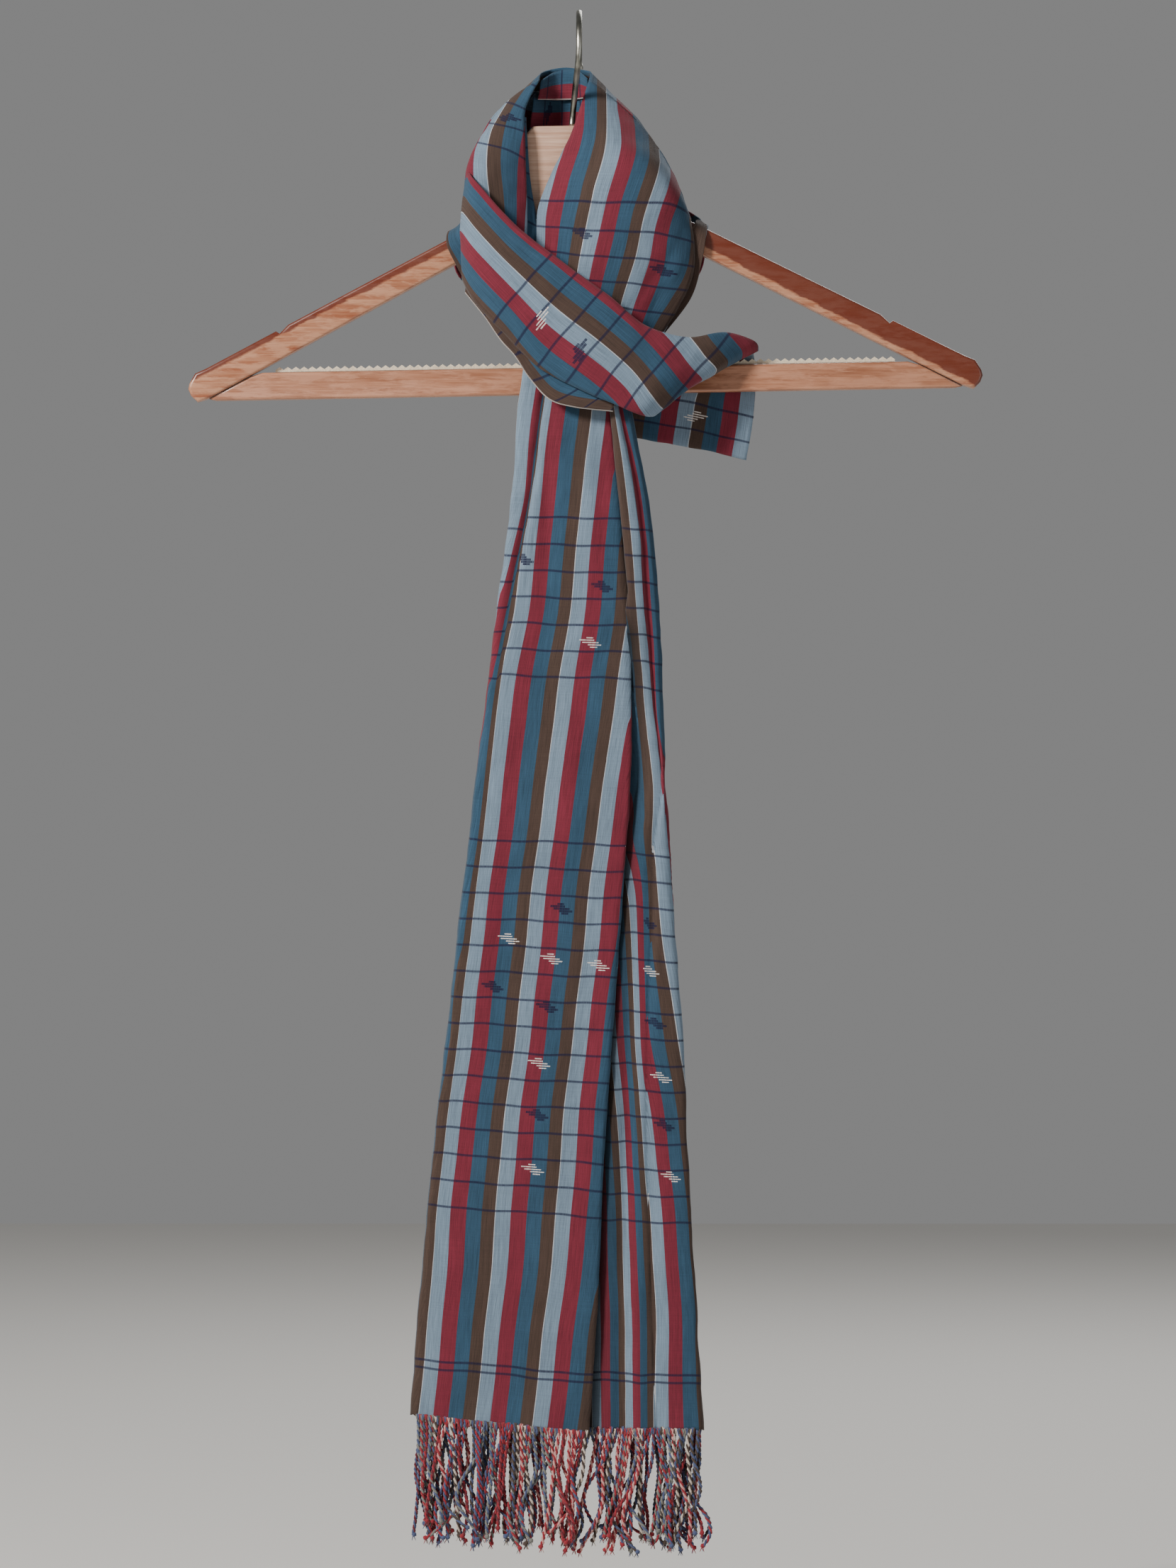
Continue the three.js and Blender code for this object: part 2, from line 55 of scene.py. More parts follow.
TAIL_STEPS = int(600 / CLOTH_STEP)
LEFT_STEPS = int(250 / CLOTH_STEP)
RIGHT_STEPS = int(165 / CLOTH_STEP)

# Camera and stage.
VIEW_DISTANCE = 4.0
VIEW_X = 0.005
VIEW_Z = -0.4336
LENS = 162.7
FLOOR_Z = -0.93

# Weave: one repeat of the warp stripes, and the spacing of the weft lines.
RED_END = 9.0
BLUE_END = 17.6
BROWN_END = 24.9
STRIPE_REPEAT = 34.0
LINE_PITCH = 14.75
LINE_WIDTH = 1.25
DASH_REACH = (13.0, 7.0)
STRIPE_SWAY = 0.45
LINE_SWAY = 0.42
HEM_LINES = (528.8, 533.2)

# Where the lined groups of the hanging end start, and the cloth coordinate each starts at.
GROUP_A = dict(start=284.0, end=380.0, at=4 * LINE_PITCH, pitch=14.93)
GROUP_B = dict(start=466.8, end=680.0, at=16 * LINE_PITCH, pitch=14.69)
GROUP_SWITCH = 420.0

# Hanger: sizes before the whole frame hangs a little askew.
HANGER_TILT = math.radians(1)
ARM_DEPTH = 12.0
ARM_EDGE_ROUND = 4.5
SHOULDER_X = 65.0
SHOULDER_TOP_Z = -119.5
SHOULDER_BOTTOM_Z = -135.5
ARM_TOP_SLOPE = 0.512
ARM_BOTTOM_SLOPE = 0.522
TIP_X = 224.0
NECK_TOP_Z = -62.3
NECK_HALF_WIDTH = 27.0
BAR_TOP_Z = -198.5
BAR_BOTTOM_Z = -213.8
BAR_DEPTH = 9.0
BAR_EDGE_ROUND = 2.0
STRAP_NOTCH_X = 172.0
STRAP_NOTCH_DEPTH = 2.4
SEAM_GAP = 0.4

# Hook wire.
WIRE_RADIUS = 1.7
ROD_RADIUS = 20.5

# Fringe cords.
CORD_RADIUS = 0.62
CORD_TWIST = 5.2
CORD_LENGTH = 63.0
CORD_STEP = 1.3
CORD_SIDES = 5
CORD_LEAN = 9.5
CORD_DEPTH_LEAN = 2.2
CORD_SWAY = 5.2


def table(names, rows):
    """A dictionary of columns from rows of numbers."""
    values = np.array(rows, float)
    return {name: values[:, i] for i, name in enumerate(names.split())}


RIBBON = "innerX innerY innerZ outerX outerY outerZ crownX crownY crownZ sIn sOut tIn tOut"

FRONT_RIGHT = table(RIBBON + " sInner sFar", [
    [-30, -17.2, -195.6, 29, -20.5, -195.6, 0, -1, 0, -7, 80, 110, 101, 10, 60],
    [-29, -15.5, -178, 34, -16.5, -190, 0, -4, 0, -7, 86, 92, 95, 11, 66],
    [-27, -12.5, -155, 44, -14, -184, 0, -8, 0, -7, 93, 67, 89, 12.5, 71.5],
    [-24, -13, -128, 49, -14, -177, 0, -11, 0, -6.5, 93, 38, 82, 13, 72.5],
    [-23, -12, -110, 62, -13, -153, 0, -13, 0, -6, 89, 19, 56, 14, 75.5],
    [-16, -12, -91, 65, -12, -134, 2, -15, 2, -3.5, 88, 0, 35, 16.5, 78],
    [-4, -9, -66, 63, -9.5, -117.5, 8, -14, 6, 2, 88, -25, 18, 24, 76],
    [5.5, 2, -36, 62, 0, -113.5, 8, 0, 4, 12, 87.5, -52, 13.5, 35, 75],
])
NECK_BACK = table(RIBBON + " sInner sFar", [
    [5.5, 2, -36, 62, 0, -113.5, 8, 0, 4, 12, 87.5, -52, 13.5, 35, 75],
    [6.5, 9, -31.5, 61, 10, -119, 7, 12, 4, 14, 96, -62, 0, 36, 82],
    [3, 15, -29.5, 45, 20, -148, 8, 10, 3, 15, 112, -78, -24, 36, 92],
    [-7, 17, -27.5, 0, 22, -160, 0, 8, 0, 16, 125, -104, -60, 36, 100],
    [-17, 15, -29, -45, 20, -148, -8, 10, 3, 15, 112, -136, -84, 34, 92],
    [-22, 8, -32, -61, 10, -121, -9, 12, 6, 14, 90, -152, -84, 30, 76],
    [-22.5, 0, -36, -61, 0, -114.5, -14, 0, 6, 13, 66, -167, -78, 26, 56],
])
FRONT_LEFT = table(RIBBON + " sInner sFar", [
    [-22.5, 0, -36, -61, 0, -114.5, -14, 0, 6, 13, 66, -167, -78, 26, 56],
    [-30, -8, -53, -63, -9.5, -116, -13, -7, 5, 11, 54, -149, -70, 22, 48],
    [-30.5, -13, -70, -62.5, -13, -128, -8, -9, 4, 8, 48, -130, -58, 16, 41],
    [-30, -14, -94, -60, -13.5, -150, -3, -7, 1, 2, 46, -108, -42, 13, 37],
    [-29.5, -14, -122, -50, -14, -170, 0, -4, 0, -4, 39, -81, -22, 5, 31],
    [-33, -15, -138, -46, -15, -180, 0, -2, 0, -6, 33, -64, -12, 3, 25],
])
BACK_WRAP = table(RIBBON, [
    [32, -9, -166, 48, -10, -180, 0, 0, 0, 18.5, 24.4, -40, -40],
    [45, -9, -146, 63, -10, -160, 0, 0, 0, 18, 24.6, -62, -62],
    [55, -9, -128, 69, -10, -140, 0, 0, 0, 18, 24.7, -84, -84],
    [64.5, -9, -119, 71.5, -9, -125, 0, 0, 0, 18.5, 24.6, -96, -96],
    [66, 0, -115.5, 72.5, 0, -118.8, 0, 0, 0, 18, 25, -106, -106],
    [68, 11, -113, 72, 12, -122, 0, 0, 0, 12, 29, -118, -118],
    [50, 31, -103, 62, 25, -150, 2, 3, 0, -2, 46, -142, -138],
    [0, 37, -84, 0, 34, -158, 0, 5, 0, -14, 60, -196, -198],
    [-50, 31, -103, -63, 25, -150, -2, 3, 0, -2, 46, -250, -258],
    [-66, 11, -115, -71, 12, -126, 0, 0, 0, 8, 26, -276, -278],
    [-67, 0, -118, -74, 0, -121.5, 0, 0, 0, 10, 19, -288, -288],
    [-66, -9, -124, -74.5, -9, -130, 0, 0, 0, 10, 19, -297, -297],
    [-59, -10, -134, -69.5, -10, -141, 0, 0, 0, 10, 20, -314, -314],
    [-50, -10, -148, -61, -10, -156, 0, 0, 0, 10, 20, -334, -334],
    [-41, -10, -160, -52, -10, -168, 0, 0, 0, 10, 20, -350, -350],
])
BAND = table(RIBBON, [
    [-64, -12.5, -99, -64.5, -15.5, -146, -2, 0, 0, 42, 90, -64, -32],
    [-62, -18, -90.5, -65, -20.5, -151, -2, -1, 0, 41, 90, -60, -27],
    [-57, -26, -96.5, -58, -27, -164, 0, -3, 0, 39, 90, -49, -13],
    [-36, -30.5, -120, -42, -31, -181, 0, -4, 0, 39, 90, -22, 7],
    [-11, -32.5, -140, -23, -32, -200, 0, -4, 0, 39, 88, 5, 30],
    [15, -33, -159, 1, -32.5, -213, 0, -4, 0, 39, 84, 32, 52],
    [36, -31, -176, 20, -32, -221, 0, -4, 0, 38, 78, 55, 69],
    [60, -26, -183, 32, -30, -226, 0, -5, 0, 27, 71, 75, 80],
    [82, -18, -180, 39, -26, -227.5, 0, -6, 0, 10, 67, 87, 85],
    [98, -10, -184, 43, -22, -226.5, 0, -5, 0, 2, 64, 99, 87],
    [101, -5, -189, 41, -17, -222.5, 0, -2, 0, 0, 61, 101, 87],
])
UNDER_BAND = table(RIBBON, [
    [-60, -21.6, -122, -64, -22.1, -158, 0, 0, 0, -8, 24, -60, -30],
    [-48, -23.6, -134, -52, -24.6, -173, 0, -1, 0, -8, 24, -40, -12],
    [-36, -26.6, -152, -44, -27.1, -185, 0, -1, 0, -4, 24, -20, 4],
    [-25, -28.1, -166, -36, -28.1, -194, 0, -1, 0, -4, 24, -4, 16],
    [-14, -28.6, -180, -28, -28.6, -206, 0, -1, 0, -4, 24, 10, 28],
    [-3, -28.9, -192, -17, -29.1, -218, 0, -1, 0, -4, 24, 24, 42],
    [9, -29.1, -200, -3, -29.4, -222.5, 0, -1, 0, 0, 24, 38, 54],
    [22, -29.1, -206, 19, -29.1, -225, 0, -0.5, 0, 6, 24, 54, 76],
])
END_FLAP = table(RIBBON, [
    [42, -15.6, -221, 100.4, -4.2, -189.6, 0, -1.6, 0, 61, 0, 87, 101],
    [44, -10, -208, 98.4, -1.4, -190.6, 0, -2.4, 2.5, 61, -1, 92, 102],
    [46, -6.6, -198, 98.5, 2, -191, 0, -1, 2, 61, -4, 96, 102],
    [47, -2, -192.6, 99, 5.8, -193.4, 0, 0, 0.6, 60, -8, 98, 99],
    [46, 5.8, -194.4, 99.4, 6.4, -200, 0, 0, 0, 60, -9, 101, 98],
    [40, 6.4, -202, 99.6, 6.4, -208, 0, 0, 0, 60, -9, 108, 102],
    [32, 6.4, -214, 99.6, 6.4, -216, 0, 0.6, 0, 60, -9, 120, 109],
    [29, 6.6, -226, 98, 6.8, -231, 0, 1.2, 0, 60, -9, 132, 123],
    [28, 7, -234, 95, 7.2, -247, 0, 1.4, 0.6, 60, -9, 141, 140],
    [28, 9.4, -237, 94.6, 9.6, -250, 0, 1.2, 0.6, 60, -9, 145, 144],
    [28, 12, -233, 94.8, 12, -245, 0, 1.2, 0.6, 60, -9, 149, 149],
    [31, 12, -212, 97, 12, -218, 0, 0.5, 0, 60, -9, 175, 179],
])
FACING_UPPER = table(RIBBON, [
    [-21.5, 5.5, -36, -23.5, 3.5, -47, 0, 0, 0, 17.4, 0, -24, -24],
    [-13, 14.5, -30, -14, 11, -46.5, 0, 1, 0, 17.4, 0, -5, -5],
    [-2, 15, -29, -2, 11, -46, 0, 1, 0, 17.4, 0, 11, 11],
    [5, 9, -34.5, 5, 7, -45.5, 0, 0, 0, 17.4, 0, 22, 22],
])
FACING_LOWER = table(RIBBON, [
    [-26, 6, -45.5, -29, 8.5, -72, 0, 0, 0, 18, -10, -26, -26],
    [-16, 13.5, -45, -17, 12, -72, 0, 1, 0, 18, -10, -9, -9],
    [-4, 14, -44.5, -4, 12, -72, 0, 1, 0, 18, -10, 8, 8],
    [5, 9.5, -46, 9, 9, -72, 0, 0, 0, 18, -10, 21, 21],
])

# The turned-in strip that shows inside the left edge of the collar's opening.
COLLAR_TURN = table(RIBBON, [
    [-33, -11, -58, -30, -8, -58, 0, 0, 0, 9.5, 17, -150, -150],
    [-33, -12.6, -78, -29, -10, -78, 0, 0, 0, 9.5, 17, -130, -130],
    [-32, -13, -94, -27.2, -10.5, -96, 0, 0, 0, 9.5, 17, -112, -112],
    [-32, -13, -108, -24.5, -10, -112, 0, 0, 0, 9.5, 17, -96, -96],
    [-32, -13, -122, -22, -9.5, -126, 0, 0, 0, 9.5, 17, -82, -82],
    [-33, -13.5, -134, -21, -10, -138, 0, 0, 0, 9.5, 20, -70, -70],
    [-35, -14.5, -154, -19, -8.5, -157, 0, 0, 0, 9.5, 24, -50, -50],
    [-37, -16, -176, -17, -8, -179, 0, 0, 0, 9.5, 28, -28, -28],
])

# Hanging end, left part. sFold is the cloth at the left fold, sTuck and sOut the two sides of the soft pleat.
TAIL_LEFT = table("z left pleat right front hem sFold sTuck sOut sEdge", [
    [-196, -30, -17, 15, -17.5, 0, -77, -64, -38.5, 0],
    [-226, -34.4, -21.5, 18, -19, 0, -76.7, -64.3, -38.3, 2],
    [-274, -37.6, -28, 22.5, -19, 0, -75.6, -66, -38.7, 14],
    [-336, -45.8, -39.6, 28, -18.5, 2, -68.5, -59.5, -44.5, 25],
    [-386, -51.6, -47, 29, -18.5, 3, -60.5, -51.5, -42.5, 34],
    [-434, -57.6, -52.3, 28, -19, 3, -57, -51.5, -42, 39.5],
    [-507, -66, -60.8, 22.7, -20, 4, -54, -50.5, -42, 44],
    [-574, -73.2, -69, 17.6, -20.5, 5, -52.5, -49.5, -41.5, 46.5],
    [-640, -81, -77.3, 13.2, -21, 6, -51.5, -48, -41.5, 48.5],
    [-715, -88, -84.8, 10, -21, 8, -50.5, -47, -42, 52.5],
    [-788.5, -94, -91, 5.2, -21, 10, -47.5, -44.5, -42.5, 57.5],
])
PLEAT_DEPTH = 2.2
PLEAT_WIDTH = 2.1
PLEAT_END_Z = -400.0
PLEAT_SLIP = 6.0

# How far the layer behind reaches, as a share of the width.
TAIL_LEFT_BACK = 0.86

# Hanging end, right part. The s columns are the cloth at its hidden start, the ridge's two sides
# and the fold.
TAIL_RIGHT = table("z left middle right start front step sStart sRidge sSide sFold", [
    [-196, 12, 20, 26.5, -22, -23, 3.6, 121, 132, 141, 153.6],
    [-226, 16.5, 23, 29.5, -23.5, -23.5, 4, 121, 134, 141, 153.6],
    [-274, 21.6, 32.5, 38.8, -23.5, -23.5, 4.4, 121.5, 136, 139, 153.6],
    [-336, 27.6, 38, 45, -22.5, -22, 3.6, 121.5, 136, 139, 153],
    [-386, 31.6, 42, 47, -19, -20, 2.2, 121, 136, 144, 150],
    [-402, 32, 43.6, 47.4, -17.4, -19.6, 1.8, 120, 135.6, 143.5, 149.5],
    [-417, 31.8, 45.4, 48, -16, -19.2, 1.2, 118.5, 135.4, 142, 147],
    [-434, 31.4, 46.8, 48.5, -14.6, -19, 0.4, 116.5, 134.8, 136.2, 139],
    [-450, 28, 45, 49.6, -13.4, -19, 0, 110, 131.2, 132.6, 138],
    [-470, 24, 42, 51, -12.6, -19, 0, 103, 126.5, 127.5, 137],
    [-507, 14, 41, 53, -12, -19, 0, 66, 120.5, 121.5, 136],
    [-574, 9, 38, 58, -12, -19, 0, 45, 108.5, 110, 131],
    [-640, 4, 38, 61, -11.6, -18.5, 0, 26, 94.5, 95.5, 123.5],
    [-715, -1, 40, 65, -11.6, -18.5, 0, 14, 89.5, 90.5, 121.8],
    [-797, -5, 43, 69.8, -11.6, -18.5, 0, 8, 93, 94, 122.6],
])
TAIL_RIGHT_BACK = 0.72

# Painted shade in the valley beside the left part, below VALLEY_TOP.
VALLEY_WIDTH = 11.0
VALLEY_TOP = 330.0
VALLEY_FADE = 20.0

# Depths below the rod between which the hidden start is tucked in further.
TUCK_TOP = 325.0
TUCK_BOTTOM = 520.0
TUCK_FADE = 30.0

# Small upright folds low on the right part.
FOLDS_TOP = 470.0
FOLDS_FADE = 260.0
FOLDS_DEPTH = 2.4

# Woven dashes that show: x, z and 1 for white or -1 for navy.
LEFT_DASHES = [
    (13.2, -323.2, -1), (6.8, -353.6, 1), (-10.4, -503.6, -1), (-16.4, -530.8, 1), (-18.8, -558.4, -1),
    (-22, -589.6, 1), (-24, -619.6, -1), (-26, -649.2, 1), (-31.6, -308, -1),
    (-40, -520, 1), (-48, -548, -1), (10, -536, 1),
]
RIGHT_DASHES = [
    (38.4, -510.4, -1), (38.4, -539.2, 1), (42, -566.8, -1), (45.2, -597.6, 1), (48.4, -626.4, -1),
    (51.1, -656, 1),
]

# Where across a stretch the columns sInner and sFar hold, as shares of its width.
INNER_SHARE = 0.2
FAR_SHARE = 0.8

# Soft troughs and ridges pressed into each stretch: from and to as shares of its length and width,
# then how wide and how deep.
CREASES = {
    "front_right": [
        (0.18, 0.97, 0.62, 0.86, 4.5, 1.4),
        (0.08, 0.55, 0.45, 0.70, 5.0, 0.9),
        (0.30, 0.30, 0.62, 0.42, 7.0, -0.7),
        (0.12, 0.85, 0.50, 0.93, 4.0, -0.9),
        (0.40, 0.76, 0.86, 0.96, 3.2, 1.6),
        (0.50, 0.86, 0.74, 0.97, 4.0, -0.9),
    ],
    "neck_back": [
        (0.10, 0.35, 0.45, 0.55, 6.0, 1.2),
        (0.55, 0.30, 0.92, 0.48, 6.0, 1.1),
        (0.20, 0.75, 0.75, 0.82, 8.0, 1.4),
        (0.40, 0.12, 0.62, 0.20, 5.0, -0.8),
    ],
    "front_left": [
        (0.05, 0.30, 0.55, 0.38, 4.0, 0.9),
        (0.35, 0.62, 0.80, 0.55, 4.0, -0.7),
    ],
    "back_wrap": [
        (0.36, 0.30, 0.62, 0.38, 6.0, 1.5),
        (0.40, 0.70, 0.66, 0.62, 6.0, 1.3),
        (0.44, 0.50, 0.56, 0.52, 5.0, -1.0),
    ],
    "band": [
        (0.20, 0.86, 0.52, 0.80, 4.0, 0.9),
        (0.28, 0.18, 0.55, 0.30, 5.0, 0.6),
        (0.58, 0.55, 0.92, 0.30, 5.0, 1.0),
        (0.62, 0.85, 0.94, 0.62, 4.0, 0.9),
        (0.50, 0.10, 0.80, 0.06, 4.0, -0.8),
    ],
    "under_band": [
        (0.25, 0.40, 0.80, 0.55, 4.0, 0.6),
    ],
    "tail_left": [
        (0.80, 0.50, 0.87, 0.24, 5.0, 0.9),
        (0.30, 0.30, 0.62, 0.22, 7.0, -0.8),
        (0.06, 0.42, 0.36, 0.37, 4.5, 0.9),
        (0.04, 0.22, 0.30, 0.20, 4.5, -0.7),
        (0.60, 0.13, 0.93, 0.16, 7.0, 0.8),
        (0.44, 0.46, 0.70, 0.40, 6.0, 0.7),
    ],
    "tail_right": [
        (0.42, 0.38, 0.78, 0.42, 5.0, 0.9),
        (0.70, 0.16, 0.95, 0.20, 4.0, -0.8),
    ],
    "end_flap": [
        (0.45, 0.30, 0.72, 0.42, 5.0, 0.8),
        (0.48, 0.75, 0.70, 0.66, 5.0, -0.6),
    ],
}
ROUGHNESS_OF_CLOTH = 0.8
TAIL_ROUGHNESS = 0.65
CREASE_SHARE = 1.4
RIPPLE_SIZE = 19.0
SCALLOP_PITCH = 3.6
SCALLOP_DEPTH = 1.5


def smooth_rows(rows, count):
    """Every column of a table at count + 1 even places, smoothly between its rows."""
    size = len(next(iter(rows.values())))
    place = np.linspace(0, size - 1, count + 1)
    i = np.minimum(place.astype(int), size - 2)
    x = place - i
    made = {}
    for name, values in rows.items():
        a, b, c, d = (values[np.clip(i + k, 0, size - 1)] for k in (-1, 0, 1, 2))
        made[name] = 0.5 * (
            2 * b + (c - a) * x + (2 * a - 5 * b + 4 * c - d) * x ** 2 + (3 * b - a - 3 * c + d) * x ** 3
        )
    return made


def point_columns(r, prefix):
    return np.stack([r[prefix + "X"], r[prefix + "Y"], r[prefix + "Z"]], axis=-1)


def picked(r, names):
    """Some columns of a table, in the order named."""
    return [r[name] for name in names.split()]


def normals_of(grid):
    along = np.gradient(grid, axis=0)
    across = np.gradient(grid, axis=1)
    normal = np.cross(along, across)
    return normal / np.maximum(np.linalg.norm(normal, axis=-1, keepdims=True), 1e-9)


def ripple(grid, seed):
    """Small unevenness of soft cloth at every point of a grid, about -1 to 1."""
    shift = Vector((seed * 7.3, seed * 3.1, seed * 5.7))
    flat = grid.reshape(-1, 3)
    coarse = [noise.noise(Vector(p) / RIPPLE_SIZE + shift) for p in flat]
    fine = [noise.noise(Vector(p) / (RIPPLE_SIZE * 0.42) + shift) for p in flat]
    return (np.array(coarse) + 0.45 * np.array(fine)).reshape(grid.shape[:2])


def creased(grid, creases):
    """Depth pressed into a grid of points by soft troughs (above zero) and ridges (below)."""
    rows, columns = grid.shape[:2]
    depth = np.zeros((rows, columns))
    for from_u, from_v, to_u, to_v, width, amount in creases:
        start = grid[int(from_u * (rows - 1)), int(from_v * (columns - 1))]
        line = grid[int(to_u * (rows - 1)), int(to_v * (columns - 1))] - start
        share = ((grid - start) @ line) / (line @ line)
        nearest = start + np.clip(share, 0, 1)[..., None] * line
        away = np.linalg.norm(grid - nearest, axis=-1)
        fade = np.exp(-((np.clip(share, 0, 1) - 0.5) / 0.42) ** 2)
        depth += amount * fade * np.exp(-((away / width) ** 2))
    return depth


def dash_marks(grid, s, t, dashes):
    """At every point its place beside the nearest woven dash, and 1 for a white dash, -1 for a navy one."""
    marks = np.zeros(s.shape + (3,))
    nearest = np.full(s.shape, 1e9)
    for x, z, tint in dashes:
        away = np.hypot(grid[..., 0] - x, grid[..., 2] - z) + 0.3 * (grid[..., 1] - grid[..., 1].min())
        k = np.unravel_index(np.argmin(away), away.shape)
        beside, above = s - s[k], t - t[k]
        here = (np.abs(beside) < DASH_REACH[0]) & (np.abs(above) < DASH_REACH[1])
        size = np.hypot(beside, above)
        here &= size < nearest
        nearest = np.where(here, size, nearest)
        marks[here] = np.stack([beside, above, beside * 0 + tint], axis=-1)[here]
    return marks


def placed(name, data):
    """A new object in the scene for a mesh, a light or a camera."""
    obj = bpy.data.objects.new(name, data)
    bpy.context.scene.collection.objects.link(obj)
    return obj


def smooth_object(name, mesh):
    mesh.polygons.foreach_set("use_smooth", np.ones(len(mesh.polygons), bool))
    return placed(name, mesh)


def vector_attribute(mesh, name, values):
    layer = mesh.attributes.new(name, "FLOAT_VECTOR", "POINT")
    layer.data.foreach_set("vector", values.reshape(-1).astype(np.float32))


def cloth_object(name, grid, s, t, lined, dashes, selvedge, seed, rough=ROUGHNESS_OF_CLOTH, shade=None):
    """One stretch of cloth as a thin shell, with its weave coordinates on every point."""
    out = normals_of(grid)
    creases = CREASES.get(name.replace("_cloth", ""), ())
    push = rough * ripple(grid, seed) - CREASE_SHARE * creased(grid, creases)
    front = np.sign(-(out[..., 1].mean())) or 1.0
    grid = grid + out * (push * front)[..., None]
    rows, columns = grid.shape[:2]
    index = np.arange(rows * columns).reshape(rows, columns)
    faces = np.stack([index[:-1, :-1], index[1:, :-1], index[1:, 1:], index[:-1, 1:]], axis=-1).reshape(-1, 4)
    mesh = bpy.data.meshes.new(name)
    mesh.from_pydata((grid.reshape(-1, 3) * MM).tolist(), [], faces.tolist())
    mesh.update()
    edge = np.full(s.shape, 99.0) if selvedge is None else selvedge
    # shade is painted shade, multiplied into the cloth's colour; none where it is not given.
    deep = np.zeros(s.shape) if shade is None else shade
    sway = STRIPE_SWAY * (np.sin(t / 23 + s / 31 + seed) + 0.6 * np.sin(t / 9.7 + 2 * seed))
    dip = LINE_SWAY * (np.sin(s / 10.5 + t / 47 + seed) + 0.5 * np.sin(s / 4.3 + t / 19 + 3 * seed))
    vector_attribute(mesh, "dash", dash_marks(grid, s, t, dashes))
    vector_attribute(mesh, "weave", np.stack([s + sway, t + dip, deep], axis=-1))
    vector_attribute(mesh, "marks", np.stack([lined, edge, lined * 0], axis=-1))
    obj = smooth_object(name, mesh)
    shell = obj.modifiers.new("thickness", "SOLIDIFY")
    shell.thickness = CLOTH_THICKNESS
    shell.offset = 0
    return obj


def ribbon(name, rows, length, width, first_line, last_line, dashes, selvedge, seed):
    """A stretch between two edges that bulges by its crown, made from a table of rows."""
    r = smooth_rows(rows, int(length / CLOTH_STEP))
    v = np.linspace(0, 1, int(width / CLOTH_STEP) + 1)
    share = v[None, :, None]
    inner, outer, crown = (point_columns(r, key)[:, None] for key in ("inner", "outer", "crown"))
    grid = inner * (1 - share) + outer * share + crown * 4 * share * (1 - share)
    s_in, s_out, t_in, t_out = (column[:, None] for column in picked(r, "sIn sOut tIn tOut"))
    s = s_in * (1 - v) + s_out * v
    if "sInner" in r:
        s_inner, s_far = (column[:, None] for column in picked(r, "sInner sFar"))
        near = s_in + (s_inner - s_in) * v / INNER_SHARE
        middle = s_inner + (s_far - s_inner) * (v - INNER_SHARE) / (FAR_SHARE - INNER_SHARE)
        far = s_far + (s_out - s_far) * (v - FAR_SHARE) / (1 - FAR_SHARE)
        s = np.where(v < INNER_SHARE, near, np.where(v < FAR_SHARE, middle, far))
    t = t_in * (1 - v) + t_out * v
    low = first_line - LINE_PITCH / 2
    high = last_line + LINE_PITCH / 2
    lined = np.where((t > low) & (t < high), 1.0, 0.0)
    edge = np.abs(s_out - s) if selvedge else None
    return cloth_object(name, grid, s, t, lined, dashes, edge, seed)


def even_points(corners, count):
    """count + 1 evenly spaced points along a smooth line through each row's corners, and their shares."""
    pieces = []
    n = corners.shape[1]
    x = np.linspace(0, 1, 9)[:-1]
    for i in range(n - 1):
        a, b, c, d = (corners[:, min(max(i + k, 0), n - 1)][:, None] for k in (-1, 0, 1, 2))
        w = x[None, :, None]
        tight = 0.42
        m1 = tight * (c - a)
        m2 = tight * (d - b)
        h = 2 * w ** 3 - 3 * w ** 2
        pieces.append((h + 1) * b + (w ** 3 - 2 * w ** 2 + w) * m1 - h * c + (w ** 3 - w ** 2) * m2)
    pieces.append(corners[:, -1:])
    line = np.concatenate(pieces, axis=1)
    step = np.linalg.norm(np.diff(line, axis=1), axis=-1)
    far = np.concatenate([np.zeros((len(line), 1)), np.cumsum(step, axis=1)], axis=1)
    made = []
    for k in range(len(line)):
        at = np.linspace(0, far[k, -1], count + 1)
        made.append(np.stack([np.interp(at, far[k], line[k, :, c]) for c in range(line.shape[2])], axis=-1))
    return np.array(made)


def tail_t(z):
    """The cloth's length coordinate at a height on the hanging end, with both lined groups in step."""
    t = -z
    a = GROUP_A["at"] + (t - GROUP_A["start"]) * LINE_PITCH / GROUP_A["pitch"]
    b = GROUP_B["at"] + (t - GROUP_B["start"]) * LINE_PITCH / GROUP_B["pitch"]
    return np.where(t < GROUP_SWITCH, a, b)


def tail_lined(t):
    """1 where weft lines are woven, 0 for plain cloth."""
    marks = np.zeros(t.shape)
    for group in (GROUP_A, GROUP_B):
        begin = group["at"] - LINE_PITCH / 2
        end = group["at"] + (group["end"] - group["start"]) + LINE_PITCH / 4
        marks[(t > begin) & (t < end)] = 1.0
    return marks


def hem_scallop(grid):
    """Draws the last rows of a hanging end into small scallops, where its warp ends are gathered."""
    x = grid[-1, :, 0]
    drop = SCALLOP_DEPTH * (1 - np.abs(np.sin(math.pi * x / SCALLOP_PITCH)))
    for k, share in ((1, 1.0), (2, 0.5)):
        grid[-k, :, 2] += drop * share
    return grid


